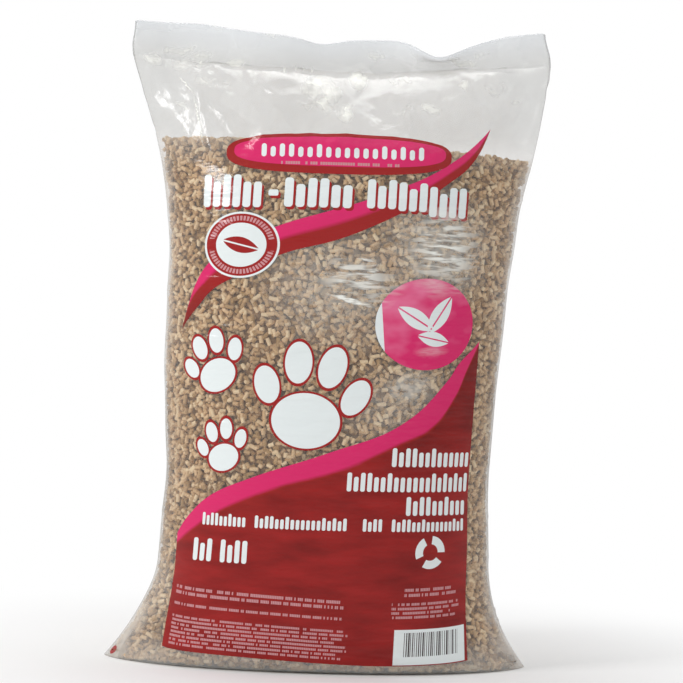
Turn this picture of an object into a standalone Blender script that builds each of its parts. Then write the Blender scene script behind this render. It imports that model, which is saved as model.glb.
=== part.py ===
"""Clear film sack of wood-pellet cat litter, standing on its folded-under foot.

Blender 4.5, metres, +Z up. The printed front of the sack looks towards -Y and the
origin is under the middle of the sack, on the floor. Two pieces: the sack, blown as
one tube of film and welded across its two ends, and the pellet litter that fills it.
"""
import math

import bmesh
import bpy
from mathutils import Matrix, Vector, noise

# Film tube
LAY_FLAT_WIDTH = 0.419      # pressed flat, from fold to fold
FILM_GAUGE = 0.0002         # thickness of one wall

# Top of the sack, measured from the floor or down from the weld's two ends
WELD_HEIGHT = 0.607
WELD_SAG = 0.013            # dip of the weld midway, over the fullest part
WELD_BAND = 0.005           # width of the fused strip
FLANGE_HEIGHT = 0.028       # loose film above the weld
FLANGE_NARROWING = 0.004    # each top corner stands in by this much
SHOULDER_DROP = 0.205       # from the weld down to where the sack starts to close

# Depths from front to back
FOOT_DEPTH = 0.184
BELLY_DEPTH = 0.201
BELLY_HEIGHT = 0.170
SHOULDER_DEPTH = 0.178
FOOT_EDGE_RADIUS = 0.016

# Ears, where the ends of the bottom weld are pinched out sideways at the floor
EAR_REACH = 0.042
EAR_HEIGHT = 0.105

# The filled sack leans to one side on its way up, and back again at the top
LEAN = math.radians(1.95)
LEAN_RETURN = 0.016
LEAN_RETURN_DROP = 0.117    # below the weld, where the way back starts
LEAN_RETURN_LENGTH = 0.190

# Waves of the slack film near the top
WAVE_DEPTH = 0.007
WAVE_LENGTH = 0.190
WAVE_SHIFT = 0.6            # radians
GATHER_DEPTH = 0.0030
GATHER_LENGTH = 0.067
CURL_PLACE = 0.105          # sideways from the middle, where the flange flops over
CURL_WIDTH = 0.026
CURL_DIP = 0.013
CURL_THROW = 0.011

# Pellet litter
LITTER_DROP = 0.094         # from the weld's ends down to the litter's middle
LITTER_SLOPE = math.radians(2.2)
LITTER_CROWN = 0.007
LITTER_CLEARANCE = 0.0004
LUMP_PITCH = 0.031          # between the lumps of the heaped pellets
LUMP_DEPTH = 0.0052         # from their crests down to the hollows
LUMP_CREST = 0.25           # ends of the slope between the two, as shares of the pitch
LUMP_FOOT = 0.75
LUMP_SHARE = 0.3            # most of the way to the sack's mid-plane that a hollow takes
SLACK_DROP = 1.3 * LITTER_DROP              # from the weld down to the first loose film

# Air release hole, high on the back
VENT_DIAMETER = 0.005
VENT_DROP = 0.048
VENT_SIDES = 12

# How the sections swell: powers of the outline, at the foot, the belly and the weld
POWER_ACROSS = 2.2
FOOT_POWER_DEEP = 1.65
BODY_POWER_DEEP = 1.95
WELD_POWER_DEEP = 1.25
CLOSING_START_POWER = 1.60
CLOSING_END_POWER = 0.56

# Mesh
QUARTER_COLUMNS = 15
FOOT_EDGE_ROWS = 4
BODY_ROWS = 16
CLOSING_ROWS = 11
FLANGE_ROWS = 3
LITTER_TOP_ROWS = 4
OUTLINE_SAMPLES = 90
WIDTH_HALVINGS = 40         # of the search for a section's width
MERGE_DISTANCE = FILM_GAUGE / 100
SHARP_EDGE = math.radians(50)

# Print on the front: plain fields of ink, placed across and above the origin.
# A sweep is a curve's height at the middle, its slope, bow and twist there.
PANEL_SPAN = (-0.147, 0.141)
PANEL_FOOT = 0.012
PANEL_SWEEP = (0.213, 0.36, 0.43, 15.5)
STRIPE_WIDTH = 0.024
SWOOSH_SWEEP = (0.429, 0.34, -0.20, 14.0)
SWOOSH_REACH = 0.150
SWOOSH_WIDTH = 0.032
PLAQUE = (0.005, 0.501, 0.109, 0.020)       # middle across and up, then half sizes
PLAQUE_HEART = (0.005, 0.501, 0.098, 0.014)
BADGE = (-0.086, 0.409, 0.037, 0.032)
BADGE_HEART = (-0.086, 0.409, 0.025, 0.021)
DISC = (0.092, 0.338, 0.0475, 0.044)
TITLE_BARS = ((-0.126, -0.036), (-0.022, 0.046), (0.060, 0.131))
TITLE_RISE = (0.446, 0.476)
SHADOW_OFFSET = 0.003

DARK_RED = (0.21, 0.014, 0.018)
PINK = (0.60, 0.020, 0.130)
WHITE_INK = (0.84, 0.86, 0.88)
CLEAR_FILM = (0.86, 0.88, 0.88)
PELLET_WOOD = (0.42, 0.29, 0.17)
FILM_ALPHA = 0.22
FILM_ROUGHNESS = 0.22
INK_ALPHA = 0.97
PELLET_ROUGHNESS = 0.85


def smooth_step(value, start, end):
    """Run from 0 to 1, level at both ends, as value goes from start to end."""
    share = min(max((value - start) / (end - start), 0.0), 1.0)
    return share * share * (3.0 - 2.0 * share)


def mix(first, second, share):
    """Blend two numbers."""
    return first + (second - first) * share


def shoulder_height():
    """Height at which the sack starts to close towards its weld."""
    return WELD_HEIGHT - SHOULDER_DROP


def band_height():
    """Height of the weld's lower edge, where the front meets the back."""
    return WELD_HEIGHT - WELD_BAND


def closing_share(height):
    """How far the sack has closed: 0 at the shoulder, 1 at the weld."""
    share = (height - shoulder_height()) / (band_height() - shoulder_height())
    return min(max(share, 0.0), 1.0)


def half_depth(height):
    """Half of the front-to-back depth of the sack's body."""
    if height < BELLY_HEIGHT:
        return mix(FOOT_DEPTH, BELLY_DEPTH, smooth_step(height, 0.0, BELLY_HEIGHT)) / 2
    swell = smooth_step(height, BELLY_HEIGHT, shoulder_height())
    depth = mix(BELLY_DEPTH, SHOULDER_DEPTH, swell)
    share = closing_share(height)
    depth *= (1.0 - share ** CLOSING_START_POWER) ** CLOSING_END_POWER
    return max(depth / 2, FILM_GAUGE)


def outline(width, depth, power_deep):
    """Points of a quarter section, from its fold on the side to its middle in front."""
    points = []
    for sample in range(OUTLINE_SAMPLES + 1):
        across = math.cos(math.pi / 2 * sample / OUTLINE_SAMPLES)
        deep = max(1.0 - across ** POWER_ACROSS, 0.0) ** (1.0 / power_deep)
        points.append(Vector((width * across, depth * deep)))
    return points


def path_length(points):
    """Length of a line through points."""
    return sum((after - before).length for before, after in zip(points, points[1:]))


def half_width(depth, power_deep):
    """Half width at which a section of this depth uses up the whole tube of film."""
    quarter = LAY_FLAT_WIDTH / 2
    low, high = 0.0, quarter
    for _ in range(WIDTH_HALVINGS):
        middle = (low + high) / 2
        if path_length(outline(middle, depth, power_deep)) < quarter:
            low = middle
        else:
            high = middle
    return low


def evenly_spaced(points, count):
    """The same line, as count steps of equal length."""
    step = path_length(points) / count
    spaced = [points[0]]
    travelled = 0.0
    for before, after in zip(points, points[1:]):
        stretch = (after - before).length
        while len(spaced) < count and travelled + stretch >= step * len(spaced):
            share = (step * len(spaced) - travelled) / stretch
            spaced.append(before.lerp(after, share))
        travelled += stretch
    return spaced + [points[-1]]


def quarter_section(height, edge_inset):
    """Quarter section of the sack, from its fold or its ear to its middle in front."""
    power_deep = mix(FOOT_POWER_DEEP, BODY_POWER_DEEP, smooth_step(height, 0.0, EAR_HEIGHT))
    power_deep = mix(power_deep, WELD_POWER_DEEP, closing_share(height))
    depth = half_depth(height)
    ear = EAR_REACH * max(1.0 - height / EAR_HEIGHT, 0.0) ** 2
    width = half_width(depth, BODY_POWER_DEEP if ear else power_deep) + ear
    return evenly_spaced(outline(width, depth - edge_inset, power_deep), QUARTER_COLUMNS)


def lean(height):
    """How far the middle of a section stands to the side of the foot's middle."""
    start = WELD_HEIGHT - LEAN_RETURN_DROP
    back = smooth_step(height, start, start + LEAN_RETURN_LENGTH)
    return math.tan(LEAN) * height - LEAN_RETURN * back


def slack(height):
    """How loose the film is: 0 where litter fills it, 1 at the weld."""
    return smooth_step(height, WELD_HEIGHT - SLACK_DROP, WELD_HEIGHT)


def loosen(point, height, depth_sign):
    """Wave and gather the film at a point of a section, and sag the weld."""
    loose = slack(height)
    flange = smooth_step(height, WELD_HEIGHT, WELD_HEIGHT + FLANGE_HEIGHT)
    wave = WAVE_DEPTH * math.sin(math.tau * point.x / WAVE_LENGTH + WAVE_SHIFT)
    gather = GATHER_DEPTH * math.cos(math.tau * point.x / GATHER_LENGTH)
    gather *= depth_sign * min(abs(point.y) / WAVE_DEPTH, 1.0)
    curl = math.exp(-((point.x - CURL_PLACE) / CURL_WIDTH) ** 2) * flange
    across = min(abs(point.x) / (LAY_FLAT_WIDTH / 2), 1.0)
    drop = WELD_SAG * (1.0 - across ** 2) * loose + CURL_DIP * curl
    shift = (wave + gather) * loose - CURL_THROW * curl
    return Vector((point.x + lean(height), point.y + shift, height - drop))


def section(height, edge_inset=0.0):
    """One closed ring of the sack's outer face, starting at its right-hand fold."""
    quarter = quarter_section(min(height, WELD_HEIGHT), edge_inset)
    narrowing = FLANGE_NARROWING * smooth_step(height, WELD_HEIGHT, WELD_HEIGHT + FLANGE_HEIGHT)
    fold = quarter[0].x
    quarter = [Vector((point.x * (1.0 - narrowing / fold), max(point.y, FILM_GAUGE)))
               for point in quarter]
    quarter[0].y = 0.0
    ring = []
    for side_x, side_y, order in ((1, -1, quarter[:-1]), (-1, -1, quarter[:0:-1]),
                                  (-1, 1, quarter[:-1]), (1, 1, quarter[:0:-1])):
        for point in order:
            ring.append(loosen(Vector((side_x * point.x, side_y * point.y)), height, side_y))
    return ring


def shrink(ring, distances):
    """Move every point of a ring inwards by its own distance, in the level plane."""
    moved = []
    for index, (point, distance) in enumerate(zip(ring, distances)):
        before = (point - ring[index - 1]).to_2d().normalized()
        after = (ring[(index + 1) % len(ring)] - point).to_2d().normalized()
        inward_before = Vector((before.y, -before.x))
        inward_after = Vector((after.y, -after.x))
        mitre = (inward_before + inward_after).normalized()
        reach = distance / mitre.dot(inward_after)
        moved.append(point + Vector((mitre.x * reach, mitre.y * reach, 0.0)))
    return moved


def row_rings(inset):
    """Rings of the sack's face moved inwards, from the foot up to just under the weld."""
    rings = []
    for row in range(FOOT_EDGE_ROWS + 1):
        turn = math.pi / 2 * row / FOOT_EDGE_ROWS
        ring = section(FOOT_EDGE_RADIUS * (1 - math.cos(turn)),
                       FOOT_EDGE_RADIUS * (1 - math.sin(turn)))
        lift = Vector((0.0, 0.0, inset * math.cos(turn)))
        rings.append([point + lift for point in ring])
    for row in range(1, BODY_ROWS + 1):
        rings.append(section(mix(FOOT_EDGE_RADIUS, shoulder_height(), row / BODY_ROWS)))
    for row in range(1, CLOSING_ROWS):
        share = math.sin(math.pi / 2 * row / CLOSING_ROWS)
        rings.append(section(mix(shoulder_height(), band_height(), share)))
    return [shrink(ring, [inset] * len(ring)) for ring in rings]


def flattened(ring):
    """The line on which the front and the back of a ring meet."""
    return [(point + ring[-index % len(ring)]) / 2 for index, point in enumerate(ring)]


def skin(name, rings):
    """Closed mesh through rings, whose first and last are flattened to a line."""
    mesh = bpy.data.meshes.new(name)
    shape = bmesh.new()
    columns = len(rings[0])
    bmesh.ops.create_grid(shape, x_segments=columns, y_segments=len(rings) - 1, size=1.0)
    front = [face for face in shape.faces if face.calc_center_median().x < 0.0]
    back = [face for face in shape.faces if face.calc_center_median().x > 0.0]
    bmesh.ops.triangulate(shape, faces=front, quad_method='FIXED')
    bmesh.ops.triangulate(shape, faces=back, quad_method='ALTERNATE')
    for vertex in shape.verts:
        column = round((vertex.co.x + 1.0) / 2.0 * columns)
        row = round((vertex.co.y + 1.0) / 2.0 * (len(rings) - 1))
        vertex.co = rings[row][column % columns]
    bmesh.ops.remove_doubles(shape, verts=shape.verts, dist=MERGE_DISTANCE)
    bmesh.ops.recalc_face_normals(shape, faces=shape.faces)
    shape.to_mesh(mesh)
    shape.free()
    return mesh


def add_object(name, mesh, material=None):
    """Put a mesh into the scene as a named object, shaded smooth but for its folds."""
    mesh.shade_smooth()
    mesh.set_sharp_from_angle(angle=SHARP_EDGE)
    if material:
        mesh.materials.append(material)
    made = bpy.data.objects.new(name, mesh)
    bpy.context.scene.collection.objects.link(made)
    return made


def cut(target, cutter):
    """Take a cutter out of an object, and keep the cutter as a guide."""
    cutter.hide_render = True
    cutter.display_type = 'WIRE'
    boolean = target.modifiers.new(cutter.name, 'BOOLEAN')
    boolean.operation = 'DIFFERENCE'
    boolean.solver = 'EXACT'
    boolean.object = cutter


def sack_face():
    """Outer face of the film: foot, body, closing shoulders, weld and flange."""
    rings = row_rings(0.0)
    rings.insert(0, flattened(rings[0]))
    rings.append(section(band_height()))
    for row in range(FLANGE_ROWS + 1):
        rings.append(section(WELD_HEIGHT + FLANGE_HEIGHT * row / FLANGE_ROWS))
    rings.append(flattened(rings[-1]))
    return skin("film_bag", rings)


def sack_inside():
    """Inner face of the film, which ends in a line under the weld, short of its corners."""
    rings = row_rings(FILM_GAUGE)
    rings.insert(0, flattened(rings[0]))
    weld = flattened(section(band_height()))
    for fold in (0, len(weld) // 2):
        weld[fold] = weld[fold - 1]
    rings.append(weld)
    return skin("sack_inside", rings)


def vent_cutter():
    """Round bar through the back wall only."""
    mesh = bpy.data.meshes.new("vent")
    shape = bmesh.new()
    height = WELD_HEIGHT - VENT_DROP
    wall = half_depth(height)
    bmesh.ops.create_cone(shape, cap_ends=True, segments=VENT_SIDES, depth=wall,
                          radius1=VENT_DIAMETER / 2, radius2=VENT_DIAMETER / 2)
    across = Matrix.Rotation(math.pi / 2, 4, 'X')
    place = Matrix.Translation((lean(height), wall, height - WELD_SAG * slack(height)))
    bmesh.ops.transform(shape, matrix=place @ across, verts=shape.verts)
    shape.to_mesh(mesh)
    shape.free()
    return mesh


def halved(rings):
    """The same rings, with one more midway between each two."""
    rows = [rings[0]]
    for below, above in zip(rings, rings[1:]):
        rows.append([(low + high) / 2 for low, high in zip(below, above)])
        rows.append(above)
    return rows


def hollow(point, room):
    """Depth of the litter's face at a point below the crests of its lumps."""
    distances, _ = noise.voronoi(point / LUMP_PITCH)
    depth = LUMP_DEPTH * smooth_step(distances[0], LUMP_CREST, LUMP_FOOT)
    return min(depth, LUMP_SHARE * room)


def heaped(rings):
    """The same rings, with their points sunk into the hollows between the lumps."""
    return [shrink(ring, [hollow(point, abs(point.y)) for point in ring]) for ring in rings]


def levelled(rings):
    """The same rings, with what stands above the litter's level drawn down to it."""
    level = Vector((lean(WELD_HEIGHT - LITTER_DROP), 0.0, WELD_HEIGHT - LITTER_DROP))
    upwards = Vector((math.sin(LITTER_SLOPE), 0.0, math.cos(LITTER_SLOPE)))
    rows = [rings[0]]
    for ring in rings[1:]:
        row = []
        for below, point in zip(rows[-1], ring):
            above = (point - level).dot(upwards)
            if above > 0.0:
                under = (below - level).dot(upwards)
                point = below.lerp(point, under / (under - above))
            row.append(point)
        rows.append(row)
    return rows


def litter_top(rim):
    """Rings over the top of the heap, from inside its rim to the line midway."""
    middle = flattened(rim)
    full_reach = max(abs(point.y) for point in rim)
    rows = []
    for row in range(1, LITTER_TOP_ROWS + 1):
        share = row / LITTER_TOP_ROWS
        ring = []
        for edge, centre in zip(rim, middle):
            reach = (centre - edge).length
            point = edge.lerp(centre, share)
            rise = LITTER_CROWN * share * reach / full_reach - hollow(point, reach)
            ring.append(point + Vector((0.0, 0.0, rise)))
        rows.append(ring)
    return rows[:-1] + [flattened(rows[-1])]


def litter():
    """The pellet mass: the lumpy inside of the sack, levelled off below the headspace."""
    rings = row_rings(FILM_GAUGE + LITTER_CLEARANCE)
    foot = [flattened(rings[0])] + rings[:FOOT_EDGE_ROWS]
    body = halved(rings[FOOT_EDGE_ROWS:])
    body = levelled(body[:1] + heaped(body[1:]))
    return skin("litter_fill", foot + body + litter_top(body[-1]))


def plain_material(name, colour, roughness):
    """Principled material with one colour."""
    material = bpy.data.materials.new(name)
    material.use_nodes = True
    shader = material.node_tree.nodes["Principled BSDF"]
    shader.inputs["Base Color"].default_value = (*colour, 1.0)
    shader.inputs["Roughness"].default_value = roughness
    shader.inputs["Metallic"].default_value = 0.0
    return material


class InkLayers:
    """Fields of ink laid one over another on a clear film, as nodes of its material."""

    def __init__(self, tree):
        """Start from the bare film, with the place of a point across and up the front."""
        self.tree = tree
        place = tree.nodes.new("ShaderNodeSeparateXYZ")
        coordinates = tree.nodes.new("ShaderNodeTexCoord")
        tree.links.new(coordinates.outputs["Object"], place.inputs[0])
        self.across, deep, self.up = place.outputs
        self.front = self.maths('LESS_THAN', deep, 0.0)
        self.colour = (*CLEAR_FILM, 1.0)
        self.alpha = (FILM_ALPHA,) * 4

    def feed(self, socket, value):
        """Give a socket another node's result, or a plain value."""
        if isinstance(value, bpy.types.NodeSocket):
            self.tree.links.new(value, socket)
        else:
            socket.default_value = value

    def maths(self, operation, *values):
        """Add a math node and give back its result."""
        node = self.tree.nodes.new("ShaderNodeMath")
        node.operation = operation
        for socket, value in zip(node.inputs, values):
            self.feed(socket, value)
        return node.outputs[0]

    def blend(self, mask, under, over):
        """Lay one colour over another where a mask holds."""
        node = self.tree.nodes.new("ShaderNodeMix")
        node.data_type = 'RGBA'
        sockets = {socket.identifier: socket for socket in node.inputs}
        self.feed(sockets["Factor_Float"], mask)
        self.feed(sockets["A_Color"], under)
        self.feed(sockets["B_Color"], over)
        return next(socket for socket in node.outputs if socket.identifier == "Result_Color")

    def lay(self, ink, mask):
        """Print an ink on the front where a mask holds."""
        mask = self.maths('MULTIPLY', mask, self.front)
        self.colour = self.blend(mask, self.colour, (*ink, 1.0))
        self.alpha = self.blend(mask, self.alpha, (INK_ALPHA,) * 4)

    def between(self, value, low, high):
        """Where a value lies between two others."""
        above = self.maths('GREATER_THAN', value, low)
        return self.maths('MULTIPLY', above, self.maths('LESS_THAN', value, high))

    def box(self, left, right, low, high):
        """Where a point lies in an upright rectangle."""
        return self.maths('MULTIPLY', self.between(self.across, left, right),
                          self.between(self.up, low, high))

    def ellipse(self, middle_across, middle_up, radius_across, radius_up):
        """Where a point lies in an ellipse."""
        far_across = self.maths('SUBTRACT', self.across, middle_across)
        far_across = self.maths('DIVIDE', far_across, radius_across)
        far_up = self.maths('SUBTRACT', self.up, middle_up)
        far_up = self.maths('DIVIDE', far_up, radius_up)
        squares = self.maths('MULTIPLY', far_across, far_across)
        squares = self.maths('MULTIPLY_ADD', far_up, far_up, squares)
        return self.maths('LESS_THAN', squares, 1.0)

    def sweep(self, height, slope, bow, twist):
        """Height of a curve that is a cubic in the place across."""
        factor = self.maths('MULTIPLY_ADD', self.across, twist, bow)
        factor = self.maths('MULTIPLY_ADD', factor, self.across, slope)
        return self.maths('MULTIPLY_ADD', factor, self.across, height)

    def taper(self, reach, width):
        """A width that runs out at a reach to either side."""
        share = self.maths('DIVIDE', self.across, reach)
        used = self.maths('MULTIPLY', share, share)
        left = self.maths('MAXIMUM', self.maths('SUBTRACT', 1.0, used), 0.0)
        return self.maths('MULTIPLY', self.maths('SQRT', left), width)


def print_panel(inks):
    """Dark red lower panel, with a pink stripe along its swept top edge."""
    top = inks.sweep(*PANEL_SWEEP)
    panel = inks.box(*PANEL_SPAN, PANEL_FOOT, top)
    stripe = inks.box(*PANEL_SPAN, inks.maths('SUBTRACT', top,
                      inks.taper(PANEL_SPAN[1], STRIPE_WIDTH)), top)
    inks.lay(DARK_RED, panel)
    inks.lay(PINK, stripe)


def print_swoosh(inks):
    """Two-tone swoosh above the panel, pink over dark red."""
    middle = inks.sweep(*SWOOSH_SWEEP)
    half = inks.taper(SWOOSH_REACH, SWOOSH_WIDTH / 2)
    inks.lay(DARK_RED, inks.between(inks.up, inks.maths('SUBTRACT', middle, half), middle))
    inks.lay(PINK, inks.between(inks.up, middle, inks.maths('ADD', middle, half)))


def print_title(inks):
    """White bars in the title's place, each with a dark red shadow."""
    low, high = TITLE_RISE
    for colour, shift in ((DARK_RED, SHADOW_OFFSET), (WHITE_INK, 0.0)):
        for left, right in TITLE_BARS:
            inks.lay(colour, inks.box(left + shift, right + shift, low - shift, high - shift))


def printed_film_material():
    """Clear film with the inks of the front over it."""
    material = plain_material("clear_printed_film", CLEAR_FILM, FILM_ROUGHNESS)
    shader = material.node_tree.nodes["Principled BSDF"]
    shader.inputs["Alpha"].default_value = FILM_ALPHA
    inks = InkLayers(material.node_tree)
    print_panel(inks)
    print_swoosh(inks)
    inks.lay(DARK_RED, inks.ellipse(*PLAQUE))
    inks.lay(PINK, inks.ellipse(*PLAQUE_HEART))
    inks.lay(PINK, inks.ellipse(*DISC))
    inks.lay(DARK_RED, inks.ellipse(*BADGE))
    inks.lay(WHITE_INK, inks.ellipse(*BADGE_HEART))
    print_title(inks)
    inks.feed(shader.inputs["Base Color"], inks.colour)
    inks.feed(shader.inputs["Alpha"], inks.alpha)
    return material


def centre_on_origin(objects, guide):
    """Shift every piece so that the guide's box stands centred on the origin."""
    corners = [guide.matrix_world @ Vector(corner) for corner in guide.bound_box]
    middle = sum(corners, Vector()) / len(corners)
    lowest = min(corner.z for corner in corners)
    shift = Matrix.Translation((-middle.x, -middle.y, -lowest))
    for piece in objects:
        piece.data.transform(shift)


def main():
    """Clear the scene and build the two pieces."""
    for old in list(bpy.data.objects):
        bpy.data.objects.remove(old, do_unlink=True)
    film = add_object("film_bag", sack_face(), printed_film_material())
    inside = add_object("sack_inside", sack_inside())
    vent = add_object("vent", vent_cutter())
    wood = plain_material("wood_pellets", PELLET_WOOD, PELLET_ROUGHNESS)
    fill = add_object("litter_fill", litter(), wood)
    cut(film, inside)
    cut(film, vent)
    centre_on_origin([film, inside, vent, fill], film)


main()
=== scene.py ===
"""Looks of a clear film sack of wood-pellet litter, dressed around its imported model.

Metres, +Z up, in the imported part's frame: the origin is on the floor under the middle of
the sack and the printed front looks towards -Y. A place on the film is given by how far it
lies across from the front's middle, measured along the film, and by its height.
"""
import logging
import math
from collections.abc import Sequence
from dataclasses import dataclass
from enum import Enum

import bmesh
import bpy
import numpy as np
from mathutils import Euler, Matrix, Vector, noise

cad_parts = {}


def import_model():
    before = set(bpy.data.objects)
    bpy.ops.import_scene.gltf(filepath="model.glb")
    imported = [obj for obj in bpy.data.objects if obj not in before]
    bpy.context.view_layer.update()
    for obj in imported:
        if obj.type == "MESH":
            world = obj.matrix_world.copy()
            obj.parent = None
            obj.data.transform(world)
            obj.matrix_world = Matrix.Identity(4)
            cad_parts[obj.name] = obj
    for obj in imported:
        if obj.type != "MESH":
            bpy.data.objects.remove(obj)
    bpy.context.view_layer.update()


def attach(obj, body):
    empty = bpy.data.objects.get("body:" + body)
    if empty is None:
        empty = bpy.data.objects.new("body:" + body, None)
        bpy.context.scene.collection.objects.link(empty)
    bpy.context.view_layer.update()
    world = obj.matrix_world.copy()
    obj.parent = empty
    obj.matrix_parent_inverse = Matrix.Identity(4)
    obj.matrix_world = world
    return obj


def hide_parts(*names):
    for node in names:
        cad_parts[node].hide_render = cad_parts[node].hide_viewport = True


LOG = logging.getLogger("sack")
MM = 0.001
FILM_MAP = "film"           # UV map of the film: across and up, in metres
RISE = "rise"               # attribute of the film: height before the weld sags
TONE = "tone"               # attribute of a pellet: how light its wood is
ROOT = "root"
WHOLE_TURN = math.tau

Socket = bpy.types.NodeSocket
Colour = tuple[float, float, float, float]
Point = tuple[float, float]
Line = tuple[Point, ...]
Array = np.ndarray
Rods = tuple[Array, Array, Array]  # two ends and places round the sack


def linear(hex_colour: str) -> Colour:
    """Turn an sRGB hex colour into linear light.

    Args:
        hex_colour: a colour such as "#8a1c1e".

    Returns:
        Linear red, green and blue, and full alpha.
    """
    shares = [int(hex_colour[place:place + 2], 16) / 255 for place in (1, 3, 5)]
    light = [share / 12.92 if share <= 0.04045 else ((share + 0.055) / 1.055) ** 2.4
             for share in shares]
    return (*light, 1.0)


def smooth_step(value: Array | float, start: float, end: float) -> Array | float:
    """Run from 0 to 1, level at both ends, as value goes from start to end."""
    share = np.clip((value - start) / (end - start), 0.0, 1.0)
    return share * share * (3.0 - 2.0 * share)


def mix(first: float, second: float, share: float) -> float:
    """Blend two numbers."""
    return first + (second - first) * share


def rates(*sizes: float) -> tuple[float, float, float]:
    """How fast a pattern runs in each direction, from the sizes of its cells there."""
    found = [1 / size for size in sizes]
    return (*found, *[0.0] * (3 - len(found)))


class Finish:
    """A tree of nodes under construction, for a material or for the world."""

    def __init__(self, owner: bpy.types.Material | bpy.types.World) -> None:
        """Start an empty tree."""
        owner.use_nodes = True
        self.owner = owner
        self.tree = owner.node_tree
        self.tree.nodes.clear()

    def add(self, kind: str, inputs: Sequence | dict = (), operation: str | None = None,
            output: int | str = 0, **settings: object) -> Socket | None:
        """Add a node with its settings and links.

        Args:
            kind: the node's type, without the words that every type starts with.
            inputs: a socket or a plain value for each input, in order or by name.
                None leaves an input as it is.
            operation: what a node that calculates works out.
            output: which of the node's results to give back.
            **settings: the node's own settings.

        Returns:
            One result of the node, if it has any.
        """
        node = self.tree.nodes.new("ShaderNode" + kind)
        if operation:
            node.operation = operation
        for name, value in settings.items():
            setattr(node, name, value)
        sockets = [socket for socket in node.inputs if socket.enabled]
        if isinstance(inputs, dict):
            by_name = {socket.name: socket for socket in sockets}
            pairs = [(by_name[name], value) for name, value in inputs.items()]
        else:
            pairs = list(zip(sockets, inputs))
        for socket, value in pairs:
            if isinstance(value, Socket):
                self.tree.links.new(value, socket)
            elif value is not None:
                socket.default_value = value
        if isinstance(output, str):
            return node.outputs[output]
        results = [socket for socket in node.outputs if socket.enabled]
        return results[output] if results else None

    def product(self, *values: Socket | float) -> Socket:
        """Multiply values: of masks, where every one of them holds."""
        found = values[0]
        for value in values[1:]:
            found = self.add("Math", (found, value), 'MULTIPLY')
        return found

    def cloud(self, place: Socket, size: Sequence[float], detail: float = 2.0,
              output: int | str = 0) -> Socket:
        """Noise whose patches have a size in each direction."""
        spot = self.add("VectorMath", (place, rates(*size)), 'MULTIPLY')
        return self.add(
            "TexNoise", {"Vector": spot, "Scale": 1.0, "Detail": detail}, output=output)

    def end(self, shader: Socket) -> bpy.types.Material | bpy.types.World:
        """Show a shader, and give back the material or the world."""
        kind = "OutputWorld" if isinstance(self.owner, bpy.types.World) else "OutputMaterial"
        self.add(kind, {"Surface": shader})
        return self.owner


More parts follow.
